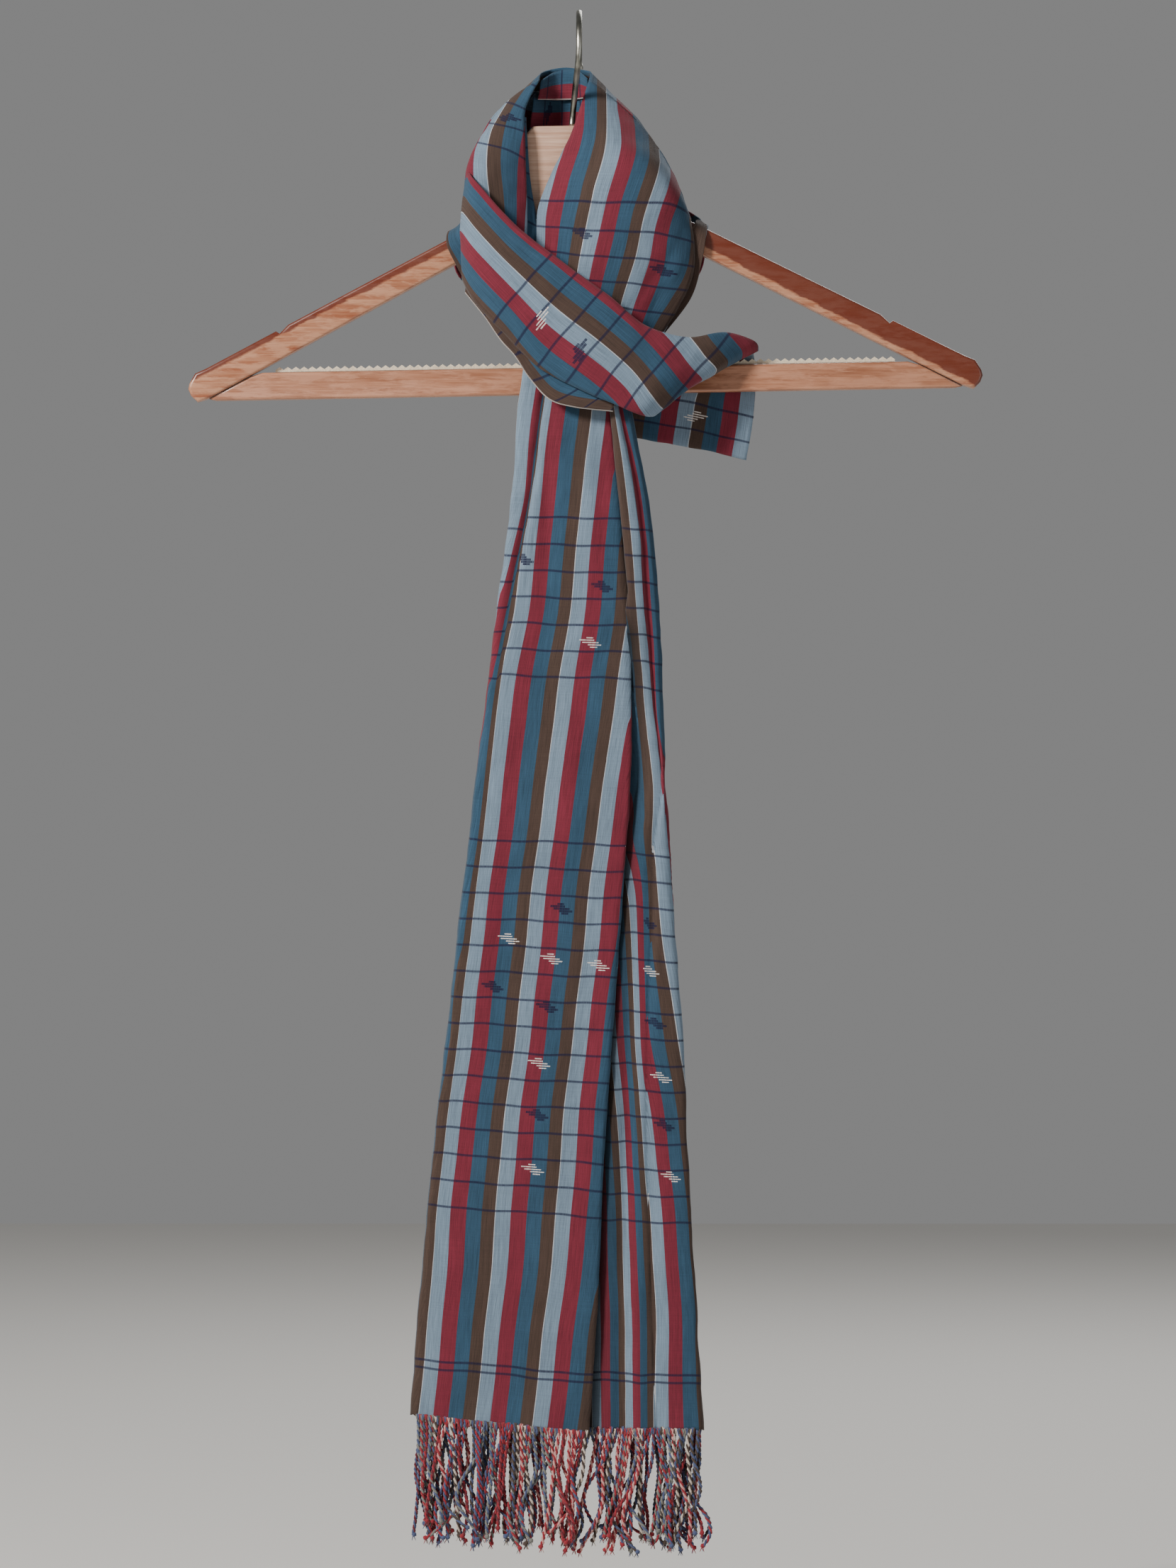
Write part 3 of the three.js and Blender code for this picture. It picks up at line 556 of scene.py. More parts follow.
def tail_left():
    """Left part of the hanging end: tucked edge, front with its pleat, left fold and the layer behind."""
    r = smooth_rows(TAIL_LEFT, TAIL_STEPS)
    left, pleat, right, front = picked(r, "left pleat right front")
    s_fold, s_tuck, s_out, s_edge = picked(r, "sFold sTuck sOut sEdge")
    width = right - left

    def mix(share):
        return left + width * share

    knots = [
        (right - 5, front + 4.6, s_edge + 12),
        (right - 1, front + 3.4, s_edge + 5),
        (right, front + 1.8, s_edge + 2),
        (right - 2, front, s_edge - 1),
        (mix(0.66), front - 1, None),
        (mix(0.33), front - 0.6, None),
        (left + 2.5, front + 0.3, s_fold + 3),
        (left, front + 2.4, s_fold),
        (left + 2, front + 4.6, s_fold - 4),
        (left + width * 0.4, front + 6, s_fold - 40),
        (left + width * TAIL_LEFT_BACK - 3, front + 6.6, s_fold - 82),
    ]
    corners = np.stack(
        [np.stack([x, y, k * np.ones_like(x)], axis=-1) for k, (x, y, _) in enumerate(knots)], axis=1
    )
    points = even_points(corners, LEFT_STEPS)
    x, y, knot = points[..., 0], points[..., 1], points[..., 2]
    z = r["z"][:, None] - r["hem"][:, None] * (x - left[:, None]) / width[:, None]
    s = np.zeros_like(x)
    known = [i for i, entry in enumerate(knots) if entry[2] is not None]
    for k in range(len(x)):
        on_front = (knot[k] > 3) & (knot[k] < 6)
        places = [left[k] + 2.5, pleat[k] - 1.6, pleat[k] + 1.6, right[k] - 2]
        values = [s_fold[k] + 3, s_tuck[k], s_out[k], s_edge[k] - 1]
        order = np.argsort(places)
        s_front = np.interp(x[k], np.array(places)[order], np.array(values)[order])
        s_rest = np.interp(knot[k], known, [knots[i][2][k] for i in known])
        s[k] = np.where(on_front, s_front, s_rest)
    opened = np.clip((z - PLEAT_END_Z) / 100, 0, 1)
    is_front = (knot > 3) & (knot < 6.2)
    beside = (x - pleat[:, None]) / PLEAT_WIDTH
    trough = PLEAT_DEPTH * np.exp(-(beside ** 2)) * opened * is_front
    sway = 0.7 * np.sin(x / 13 + z / 90) * np.sin(z / 61 + 1.2) * is_front
    grid = hem_scallop(np.stack([x, y + trough + sway, z], axis=-1))
    slipped = np.clip((r["z"][:, None] - PLEAT_END_Z) / 60, 0, 1) * (x < pleat[:, None]) * PLEAT_SLIP
    t = tail_t(r["z"][:, None] - 2.2 * (1 - opened) + slipped)
    return cloth_object("tail_left_cloth", grid, s, t, tail_lined(t), LEFT_DASHES, None, 3, TAIL_ROUGHNESS)


def tail_right():
    """Right part of the hanging end: hidden start, ridge, side, fold and the layer behind."""
    r = smooth_rows(TAIL_RIGHT, TAIL_STEPS)
    left, middle, right, start, front, step = picked(r, "left middle right start front step")
    s_start, s_ridge, s_side, s_fold = picked(r, "sStart sRidge sSide sFold")
    width = right - left
    side = front + step
    deep = np.maximum(side, start)

    def mix(a, b, share):
        return a + (b - a) * share

    tucked = np.clip((-r["z"] - TUCK_TOP) / TUCK_FADE, 0, 1)
    tucked *= np.clip((TUCK_BOTTOM + r["z"]) / TUCK_FADE, 0, 1)
    knots = [
        (left + 1 - 7 * tucked, start + 1 + 6 * tucked, s_start - 1 - 4 * tucked),
        (left + 2.5 - 2 * tucked, start - 0.4 + 3 * tucked, s_start + 1 - 3 * tucked),
        (mix(left, middle, 0.6), mix(start, front, 0.75) - 0.6, mix(s_start, s_ridge, 0.55)),
        (middle - 1.2, front + 0.4, s_ridge),
        (middle, front + 1 + step * 0.5, mix(s_ridge, s_side, 0.5)),
        (mix(middle, right, 0.3), side - 0.8, mix(s_side, s_fold, 0.3)),
        (mix(middle, right, 0.7), side - 0.4, mix(s_side, s_fold, 0.7)),
        (right - 1.5, side + 0.6, s_fold - 2),
        (right, side + 2.4, s_fold),
        (right - 2, side + 4.4, s_fold + 4),
        (right - width * 0.3, deep + 5.4, s_fold + 22),
        (right - width * TAIL_RIGHT_BACK + 2, deep + 6.4, s_fold + 50),
    ]
    corners = np.stack([np.stack(knot, axis=-1) for knot in knots], axis=1)
    points = even_points(corners, RIGHT_STEPS)
    x, y, s = points[..., 0], points[..., 1], points[..., 2]
    z = r["z"][:, None] + 0 * x
    low = np.clip((-z - FOLDS_TOP) / FOLDS_FADE, 0, 1)
    in_front = y < deep[:, None] + 2
    from_middle = x - 0.55 * (middle + left)[:, None] - 4
    on_face = np.exp(-((from_middle / 13) ** 2)) * in_front
    wave = FOLDS_DEPTH * low * on_face * np.sin(x / 3.3 + 0.6 * np.sin(z / 70))
    grid = hem_scallop(np.stack([x, y + wave, z], axis=-1))
    across = (x - left[:, None]) / width[:, None]
    t = tail_t(z + 5.5 + 2.5 * across)
    # Painted shade: in front, beside the left part's right edge and below VALLEY_TOP, the cloth is darkened.
    reach = x - np.interp(-z, -TAIL_LEFT["z"], TAIL_LEFT["right"])
    beside = np.clip(1 - reach / VALLEY_WIDTH, 0, 1)
    dark = beside * in_front * np.clip((-z - VALLEY_TOP) / VALLEY_FADE, 0, 1)
    lined = tail_lined(t)
    return cloth_object("tail_right_cloth", grid, s, t, lined, RIGHT_DASHES, None, 5, TAIL_ROUGHNESS, dark)


class Shade:
    """Builds a material's nodes by short calls; numbers and sockets mix freely as inputs."""

    def __init__(self, name):
        self.material = bpy.data.materials.new(name)
        self.material.use_nodes = True
        self.nodes = self.material.node_tree.nodes
        self.links = self.material.node_tree.links
        self.shader = self.nodes["Principled BSDF"]

    def feed(self, socket, value):
        if isinstance(value, bpy.types.NodeSocket):
            self.links.new(value, socket)
        else:
            socket.default_value = value

    def math(self, operation, *values):
        node = self.nodes.new("ShaderNodeMath")
        node.operation = operation
        for socket, value in zip(node.inputs, values):
            self.feed(socket, value)
        return node.outputs[0]

    def product(self, *values):
        made = values[0]
        for value in values[1:]:
            made = self.math("MULTIPLY", made, value)
        return made

    def within(self, value, low, high):
        return self.product(self.math("GREATER_THAN", value, low), self.math("LESS_THAN", value, high))

    def near(self, value, centre, half):
        return self.math("COMPARE", value, centre, half)

    def attribute(self, name):
        node = self.nodes.new("ShaderNodeAttribute")
        node.attribute_name = name
        return node

    def place(self):
        return self.nodes.new("ShaderNodeTexCoord").outputs["Object"]

    def split(self, vector):
        node = self.nodes.new("ShaderNodeSeparateXYZ")
        self.feed(node.inputs[0], vector)
        return node.outputs

    def join(self, x, y, z):
        node = self.nodes.new("ShaderNodeCombineXYZ")
        for socket, value in zip(node.inputs, (x, y, z)):
            self.feed(socket, value)
        return node.outputs[0]

    def noise(self, vector, scale, detail, roughness):
        node = self.nodes.new("ShaderNodeTexNoise")
        self.feed(node.inputs["Vector"], vector)
        node.inputs["Scale"].default_value = scale
        node.inputs["Detail"].default_value = detail
        node.inputs["Roughness"].default_value = roughness
        return node.outputs["Fac"]

    def mix(self, share, a, b, blend="MIX"):
        node = self.nodes.new("ShaderNodeMix")
        node.data_type = "RGBA"
        node.blend_type = blend
        self.feed(node.inputs[0], share)
        self.feed(node.inputs[6], a)
        self.feed(node.inputs[7], b)
        return node.outputs[2]

    def ramp(self, value, stops, constant=False):
        node = self.nodes.new("ShaderNodeValToRGB")
        node.color_ramp.interpolation = "CONSTANT" if constant else "LINEAR"
        elements = node.color_ramp.elements
        while len(elements) < len(stops):
            elements.new(0.5)
        for element, (place, colour) in zip(elements, stops):
            element.position = place
            element.color = colour
        self.feed(node.inputs[0], value)
        return node.outputs[0]

    def remap(self, value, low, high, to_low=0.0, to_high=1.0):
        node = self.nodes.new("ShaderNodeMapRange")
        for socket, number in zip(node.inputs, (value, low, high, to_low, to_high)):
            self.feed(socket, number)
        return node.outputs[0]

    def finished(self, colour, settings):
        """The material, with its colour and the named inputs of its shader set."""
        for name, value in {"Base Color": colour, **settings}.items():
            self.feed(self.shader.inputs[name], value)
        return self.material

    def bump(self, height, strength, distance):
        node = self.nodes.new("ShaderNodeBump")
        node.inputs["Strength"].default_value = strength
        node.inputs["Distance"].default_value = distance
        self.feed(node.inputs["Height"], height)
        self.links.new(node.outputs[0], self.shader.inputs["Normal"])


def srgb(red, green, blue):
    """A linear colour from the values an image editor shows, 0 to 255."""
    def linear(value):
        share = value / 255
        return share / 12.92 if share <= 0.04045 else ((share + 0.055) / 1.055) ** 2.4
    return (linear(red), linear(green), linear(blue), 1.0)


RED = srgb(108, 34, 49)
BLUE = srgb(43, 71, 92)
BROWN = srgb(67, 52, 45)
LIGHT = srgb(108, 126, 143)
NAVY = srgb(19, 18, 48)
WHITE = srgb(214, 206, 200)

# The woven dash, a row at a time: how far it reaches left and right of its middle, and its height above it.
DASH_ROWS = [(-2.6, 1.4, 2.6), (-6.6, 2.2, 1.3), (-4.6, 5.0, 0.0), (-1.2, 6.8, -1.3), (0.4, 4.6, -2.6)]
DASH_ROW_HALF = 0.45


def cloth_material():
    shade = Shade("striped_cotton")
    s, t, deep = shade.split(shade.attribute("weave").outputs["Vector"])
    lined, edge, _ = shade.split(shade.attribute("marks").outputs["Vector"])

    # Threads: long slubs in the warp, shorter and fainter ones in the weft.
    def threads(along_s, along_t, layer, detail, roughness):
        stretched = shade.join(shade.product(s, along_s), shade.product(t, along_t), layer)
        return shade.noise(stretched, 1.0, detail, roughness)

    warp = threads(1.9, 0.035, 0.0, 3.0, 0.65)
    warp_fine = threads(5.5, 0.09, 3.0, 2.0, 0.6)
    weft = threads(0.05, 2.1, 7.0, 3.0, 0.6)
    blotch = threads(0.035, 0.03, 1.0, 2.0, 0.5)

    # Warp stripes, their borders a little uneven.
    wander = shade.product(shade.math("SUBTRACT", warp, 0.5), 0.35)
    place = shade.math("FLOORED_MODULO", shade.math("ADD", s, wander), STRIPE_REPEAT)
    colour = shade.ramp(shade.math("DIVIDE", place, STRIPE_REPEAT), [
        (0.0, RED), (RED_END / STRIPE_REPEAT, BLUE), (BLUE_END / STRIPE_REPEAT, BROWN),
        (BROWN_END / STRIPE_REPEAT, LIGHT),
    ], constant=True)

    # A thin pale warp end runs beside the light stripe.
    pale_end = shade.product(shade.near(place, BROWN_END + 0.35, 0.22), 0.45)
    colour = shade.mix(pale_end, colour, WHITE)

    # Weft lines.
    across = shade.math("FLOORED_MODULO", shade.math("ADD", t, LINE_PITCH / 2), LINE_PITCH)
    away = shade.math("ABSOLUTE", shade.math("SUBTRACT", across, LINE_PITCH / 2))
    line = shade.product(
        shade.remap(away, LINE_WIDTH / 2 - 0.25, LINE_WIDTH / 2 + 0.25, 1.0, 0.0),
        shade.math("GREATER_THAN", lined, 0.5),
    )
    for at in HEM_LINES:
        far = shade.math("ABSOLUTE", shade.math("SUBTRACT", t, at))
        line = shade.math("MAXIMUM", line, shade.remap(far, 0.4, 0.9, 1.0, 0.0))
    worn = shade.remap(warp_fine, 0.35, 0.65, 0.55, 0.95)
    colour = shade.mix(shade.product(line, worn), colour, NAVY)

    # Woven dashes between the lines.
    beside, above, tint = shade.split(shade.attribute("dash").outputs["Vector"])
    half = shade.math("SUBTRACT", DASH_ROW_HALF, shade.product(tint, DASH_ROW_HALF / 3))
    dash = 0.0
    for left, right, up in DASH_ROWS:
        row = shade.product(shade.within(beside, left, right), shade.near(above, -up, half))
        dash = shade.math("MAXIMUM", dash, row)
    dash = shade.product(dash, shade.remap(warp_fine, 0.3, 0.6, 0.35, 1.0))
    colour = shade.mix(shade.product(dash, shade.math("GREATER_THAN", tint, 0.98)), colour, WHITE)
    colour = shade.mix(shade.product(dash, shade.math("LESS_THAN", tint, -0.98)), colour, NAVY)

    # Selvedge: a few pale threads at the very edge.
    colour = shade.mix(shade.product(shade.math("LESS_THAN", edge, 0.6), 0.45), colour, WHITE)

    # Uneven dye and yarn, then painted shade from deep.
    tone = shade.remap(warp, 0.25, 0.75, -0.28, 0.28)
    tone = shade.math("ADD", tone, shade.remap(warp_fine, 0.3, 0.7, -0.2, 0.2))
    tone = shade.math("ADD", tone, shade.remap(weft, 0.3, 0.7, -0.08, 0.08))
    tone = shade.math("ADD", tone, shade.remap(blotch, 0.3, 0.7, -0.06, 0.06))
    bright = shade.math("ADD", tone, 1.0)
    # Painted shade: deep darkens the colour, in the valley beside the left part.
    bright = shade.product(bright, shade.math("SUBTRACT", 1.0, shade.product(deep, 0.85)))
    colour = shade.mix(1.0, colour, shade.join(bright, bright, bright), "MULTIPLY")

    # Plain weave relief.
    thread_s = shade.math("SINE", shade.product(s, 2 * math.pi / 0.55))
    thread_t = shade.math("SINE", shade.product(t, 2 * math.pi / 0.6))
    relief = shade.math("ADD", shade.product(thread_s, thread_t, 0.3), shade.product(warp, 1.2))
    relief = shade.math("ADD", relief, shade.product(weft, 0.7))
    shade.bump(relief, 0.35, 0.0004)
    return shade.finished(colour, {
        "Roughness": 0.88, "Specular IOR Level": 0.22, "Sheen Weight": 0.12, "Sheen Roughness": 0.5,
    })


def yarn_material():
    shade = Shade("twisted_yarn")
    tint = shade.attribute("yarn").outputs["Color"]
    where = shade.place()
    fuzz = shade.noise(where, 1400.0, 3.0, 0.6)
    level = shade.remap(fuzz, 0.3, 0.7, 0.75, 1.2)
    colour = shade.mix(1.0, tint, shade.join(level, level, level), "MULTIPLY")
    shade.bump(fuzz, 0.6, 0.0003)
    return shade.finished(colour, {"Roughness": 0.92, "Sheen Weight": 0.2, "Sheen Roughness": 0.5})


BARE_WOOD = srgb(214, 180, 158)
BARE_WOOD_GRAIN = srgb(178, 138, 114)
BARE_HALF_WIDTH = 0.05


def wood_material(name, dark, middle, pale, front_share, slope, border, bare_share):
    """Varnished wood: long grain, painted shade making it dark and red above a sloping border, pale where the
    front has worn.
    """
    shade = Shade(name)
    where = shade.place()
    x, y, z = shade.split(where)

    def streaks(along, deep, up, detail, roughness):
        stretched = shade.join(shade.product(x, along), shade.product(y, deep), shade.product(z, up))
        return shade.noise(stretched, 1.0, detail, roughness)

    grain = streaks(22.0, 420.0, 520.0, 5.0, 0.6)
    pores = streaks(90.0, 1500.0, 1900.0, 2.0, 0.6)
    worn = streaks(60.0, 120.0, 260.0, 4.0, 0.65)
    # The sloping border of the painted shade, made uneven by the worn noise.
    rise = shade.math("ADD", z, shade.product(shade.math("ABSOLUTE", x), slope))
    edge = shade.math("ADD", rise, shade.product(shade.math("SUBTRACT", worn, 0.5), 0.006))
    up = shade.remap(edge, border - 0.0006, border + 0.0006)
    colour = shade.mix(shade.remap(grain, 0.3, 0.7), middle, pale)
    colour = shade.mix(shade.product(shade.remap(worn, 0.46, 0.56), front_share), colour, pale)
    # Painted shade: above the border the colour is mixed toward dark.
    colour = shade.mix(shade.product(up, 0.92), colour, dark)
    colour = shade.mix(shade.product(shade.remap(pores, 0.55, 0.72), 0.35), colour, dark)
    bare = shade.math("LESS_THAN", shade.math("ABSOLUTE", x), BARE_HALF_WIDTH)
    plain = shade.mix(shade.remap(grain, 0.35, 0.65), BARE_WOOD, BARE_WOOD_GRAIN)
    colour = shade.mix(shade.product(bare, bare_share), colour, plain)
    rough = shade.remap(worn, 0.35, 0.65, 0.28, 0.48)
    shade.bump(shade.math("ADD", shade.product(grain, 0.6), shade.product(pores, 0.4)), 0.25, 0.0003)
    return shade.finished(colour, {"Roughness": rough, "Coat Weight": 0.35, "Coat Roughness": 0.22})


def steel_material():
    shade = Shade("hook_steel")
    where = shade.place()
    drawn = shade.noise(where, 90.0, 3.0, 0.5)
    colour = shade.mix(shade.remap(drawn, 0.35, 0.65), srgb(120, 120, 112), srgb(176, 174, 164))
    rough = shade.remap(drawn, 0.3, 0.7, 0.26, 0.42)
    shade.bump(drawn, 0.02, 0.0001)
    return shade.finished(colour, {"Metallic": 1.0, "Roughness": rough})


def grip_material():
    shade = Shade("grip_rubber")
    where = shade.place()
    speckle = shade.noise(where, 900.0, 3.0, 0.6)
    dust = shade.noise(where, 60.0, 3.0, 0.6)
    colour = shade.mix(shade.remap(speckle, 0.35, 0.65), srgb(206, 192, 166), srgb(232, 220, 198))
    colour = shade.mix(shade.product(shade.remap(dust, 0.5, 0.7), 0.3), colour, srgb(150, 128, 100))
    shade.bump(speckle, 0.3, 0.0003)
    return shade.finished(colour, {"Roughness": 0.7})


def turned(x, z):
    """A point of the hanger, after the whole frame is turned a little."""
    c, s = math.cos(HANGER_TILT), math.sin(HANGER_TILT)
    return (x * c - z * s, x * s + z * c)


def arm_top(x):
    return SHOULDER_TOP_Z - ARM_TOP_SLOPE * (x - SHOULDER_X)


def arm_bottom(x):
    return SHOULDER_BOTTOM_Z - ARM_BOTTOM_SLOPE * (x - SHOULDER_X)


def arm_outline():
    def top(x, up=0.0):
        return (x, arm_top(x) + up)

    half = [
        (NECK_HALF_WIDTH, NECK_TOP_Z),
        (NECK_HALF_WIDTH + 5, NECK_TOP_Z - 5),
        (NECK_HALF_WIDTH + 9, NECK_TOP_Z - 18),
        (NECK_HALF_WIDTH + 15, NECK_TOP_Z - 34),
        top(SHOULDER_X - 14, 1.5),
        top(SHOULDER_X - 5),
        top(STRAP_NOTCH_X - 5),
        top(STRAP_NOTCH_X, -STRAP_NOTCH_DEPTH),
        top(STRAP_NOTCH_X + 2),
        top(TIP_X - 10),
        (TIP_X - 4, arm_top(TIP_X - 5)),
        (TIP_X - 0.8, arm_top(TIP_X - 4) - 5),
        (TIP_X, (arm_top(TIP_X - 6) + arm_bottom(TIP_X - 8)) / 2 - 1),
        (TIP_X - 1.5, arm_bottom(TIP_X - 4) + 5.5),
        (TIP_X - 5, arm_bottom(TIP_X - 6) + 1),
        (TIP_X - 12, arm_bottom(TIP_X - 12)),
        (SHOULDER_X - 15, arm_bottom(SHOULDER_X - 15)),
        (22, -113),
    ]
    return half + [(-x, z) for x, z in reversed(half)]


def slab_object(name, outline, depth, rounding):
    """A board of this outline seen from the front, with softly rounded long edges."""
    bm = bmesh.new()
    places = [turned(x, z) for x, z in outline]
    front, back = (
        [bm.verts.new((x * MM, side * depth / 2 * MM, z * MM)) for x, z in places] for side in (-1, 1)
    )
    bm.faces.new(front)
    bm.faces.new(list(reversed(back)))
    for k in range(len(places)):
        after = (k + 1) % len(places)
        bm.faces.new([front[after], front[k], back[k], back[after]])
    bmesh.ops.recalc_face_normals(bm, faces=bm.faces)
    rims = [e for e in bm.edges if abs(e.verts[0].co.y - e.verts[1].co.y) < 1e-6]
    bmesh.ops.bevel(
        bm, geom=rims, offset=rounding * MM, segments=5, profile=0.5, affect="EDGES", clamp_overlap=True
    )
    bmesh.ops.triangulate(bm, faces=[f for f in bm.faces if len(f.verts) > 4])
    mesh = bpy.data.meshes.new(name)
    bm.to_mesh(mesh)
    bm.free()
    return smooth_object(name, mesh)


def bar_outline():
    def end_at(z):
        return SHOULDER_X + (SHOULDER_BOTTOM_Z - z) / ARM_BOTTOM_SLOPE - SEAM_GAP * 2
    half = [
        (end_at(BAR_TOP_Z) - 3, BAR_TOP_Z),
        (end_at(BAR_TOP_Z - 2), BAR_TOP_Z - 2),
        (end_at(BAR_BOTTOM_Z + 1), BAR_BOTTOM_Z + 1),
        (end_at(BAR_BOTTOM_Z + 1) - 4, BAR_BOTTOM_Z),
    ]
    return half + [(-x, z) for x, z in reversed(half)]


def tube_rings(points, radius, sides):
    """Ring corners along a line of points, kept from turning about it; radius may differ along it."""
    points = np.array(points, float)
    radii = np.broadcast_to(radius, len(points))
    tangent = np.gradient(points, axis=0)
    tangent /= np.linalg.norm(tangent, axis=1, keepdims=True)
    side = np.cross(tangent[0], [0.31, 0.93, 0.17])
    rings = []
    for p, axis, r in zip(points, tangent, radii):
        side = side - axis * (side @ axis)
        side /= np.linalg.norm(side)
        other = np.cross(axis, side)
        turns = 2 * math.pi * np.arange(sides) / sides
        rings.append(p + r * (np.cos(turns)[:, None] * side + np.sin(turns)[:, None] * other))
    return np.array(rings)


class Bundle:
    """Collects many small tubes into one mesh, each with its own colour."""

    def __init__(self):
        self.points = []
        self.faces = []
        self.colours = []

    def add_tube(self, line, radius, sides, colour):
        rings = tube_rings(line, radius, sides)
        base = len(self.points)
        count = len(rings)
        self.points.extend(rings.reshape(-1, 3).tolist())
        self.colours.extend([colour] * (count * sides))
        for i in range(count - 1):
            for j in range(sides):
                a = base + i * sides + j
                b = base + i * sides + (j + 1) % sides
                self.faces.append((a, b, b + sides, a + sides))
        self.faces.append(tuple(base + j for j in reversed(range(sides))))
        self.faces.append(tuple(base + (count - 1) * sides + j for j in range(sides)))

    def build(self, name):
        mesh = bpy.data.meshes.new(name)
        mesh.from_pydata((np.array(self.points) * MM).tolist(), [], self.faces)
        mesh.update()
        yarn = mesh.attributes.new("yarn", "FLOAT_COLOR", "POINT")
        yarn.data.foreach_set("color", np.array(self.colours, np.float32).reshape(-1))
        return smooth_object(name, mesh)


YARN_RED = srgb(138, 28, 40)
YARN_PINK = srgb(192, 138, 132)
YARN_SLATE = srgb(66, 76, 110)
YARN_BROWN = srgb(66, 52, 44)
YARN_GREY = srgb(112, 112, 106)
YARN_WHITE = srgb(188, 174, 160)
YARN_DARK = srgb(96, 22, 36)
YARN_PAIRS = [
    (YARN_RED, YARN_PINK),
    (YARN_SLATE, YARN_RED),
    (YARN_BROWN, YARN_WHITE),
    (YARN_SLATE, YARN_BROWN),
    (YARN_RED, YARN_GREY),
    (YARN_RED, YARN_DARK),
    (YARN_RED, YARN_SLATE),
    (YARN_GREY, YARN_SLATE),
    (YARN_SLATE, YARN_DARK),
]


def add_cord(bundle, root, lean, deep, sway, length, turn, pair):
    """A two-ply twisted cord that hangs from root, with a small knot and a frayed end."""
    count = int(length / CORD_STEP)
    share = np.linspace(0, 1, count + 1)
    line = np.stack([
        root[0] + lean * share + sway * np.sin(share * math.pi * 2.1 + turn) * share,
        root[1] + deep * share + 0.6 * sway * np.sin(share * math.pi * 1.3 + 2 * turn) * share,
        root[2] + 1.0 - (length + 1) * share,
    ], axis=-1)
    phase = turn * 2.3 + share * length / CORD_TWIST * 2 * math.pi
    spread = CORD_RADIUS * np.clip(share * 9, 0.25, 1)
    for k, colour in enumerate(pair):
        angle = phase + math.pi * k
        ply = line + np.stack([spread * np.cos(angle), spread * np.sin(angle), 0 * angle], axis=-1)
        bundle.add_tube(ply, CORD_RADIUS * 1.12, CORD_SIDES, colour)
    end = line[-1]
    knot = [
        end + np.array([0.5 * math.sin(turn + k), 0.5 * math.cos(turn + k), 1.4 - 0.7 * k]) for k in range(4)
    ]
    bundle.add_tube(knot, np.array([0.6, 1.45, 1.5, 0.5]), 7, pair[0])
    for k in range(3):
        out = turn + 2.1 * k
        tuft = [
            end,
            end + np.array([0.8 * math.cos(out), 0.7 * math.sin(out), -1.6]),
            end + np.array([1.5 * math.cos(out), 1.2 * math.sin(out), -3.0]),
        ]
        bundle.add_tube(tuft, np.array([0.32, 0.25, 0.12]), 4, pair[k % 2])


def fringe_object(name, node, hem, pitch, seed):
    """Cords along a hem line, leaning and crossing, inside the reach of the node they stand for."""
    rng = np.random.default_rng(seed)
    low, high = (np.array(corner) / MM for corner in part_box(node))
    bundle = Bundle()
    step = np.linalg.norm(np.diff(hem, axis=0), axis=1)
    far = np.concatenate([[0], np.cumsum(step)])
    places = np.arange(pitch / 2, far[-1], pitch)
    lean = 0.0
    for k, at in enumerate(places):
        root = np.array([np.interp(at, far, hem[:, c]) for c in range(3)])
        lean = 0.35 * lean + rng.normal(0, CORD_LEAN)
        reach_left, reach_right = low[0] - 3 - root[0], high[0] + 3 - root[0]
        bend = float(np.clip(lean, reach_left, reach_right))
        pair = YARN_PAIRS[int(rng.integers(len(YARN_PAIRS)))]
        add_cord(
            bundle, root, bend, rng.normal(0, CORD_DEPTH_LEAN), rng.normal(0, CORD_SWAY),
            CORD_LENGTH + rng.uniform(-8, 6), rng.uniform(0, 6.28), pair,
        )
        # Gathered warp ends at the root.
        for side in (-1, 1):
            tip = root + np.array([side * pitch * 0.42, -0.3, 0.8])
            bundle.add_tube(
                [tip, root + np.array([side * pitch * 0.2, -0.5, -1.2]), root + np.array([0, -0.2, -3.2])],
                np.array([0.4, 0.5, 0.4]), 5, pair[0 if side < 0 else 1],
            )
    return bundle.build(name)


def hook_object():
    """The hook as one smooth bent wire with a ball end."""
    points = [
        (-4, 0, NECK_TOP_Z + SEAM_GAP),
        (-3.6, 0, NECK_TOP_Z + 6),
        (-2.8, -4, -48),
        (-1.6, -13, -37),
        (-0.6, -20.5, -29),
    ]
    reach = ROD_RADIUS + WIRE_RADIUS
    for k in range(11):
        turn = math.pi - k / 10 * math.pi
        points.append((0, reach * math.cos(turn), -ROD_RADIUS + reach * math.sin(turn)))
    points.append((0, reach - 1.5, -ROD_RADIUS - 9))
    line = even_points(np.array([points], float), 150)[0]
    radii = np.full(len(line), WIRE_RADIUS)
    radii[-6:] = WIRE_RADIUS * np.array([1.12, 1.28, 1.36, 1.3, 1.05, 0.5])
    bundle = Bundle()
    bundle.add_tube(line, radii, 20, YARN_GREY)
    return bundle.build("hook_wire")


def finish_piece(obj, material, slot, *nodes):
    obj.data.materials.clear()
    obj.data.materials.append(material)
    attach(obj, BODY)
    if nodes:
        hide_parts(*nodes)


def grid_of(obj):
    """The points of a piece in millimetres."""
    values = np.zeros(len(obj.data.vertices) * 3)
    obj.data.vertices.foreach_get("co", values)
    return values.reshape(-1, 3) / MM


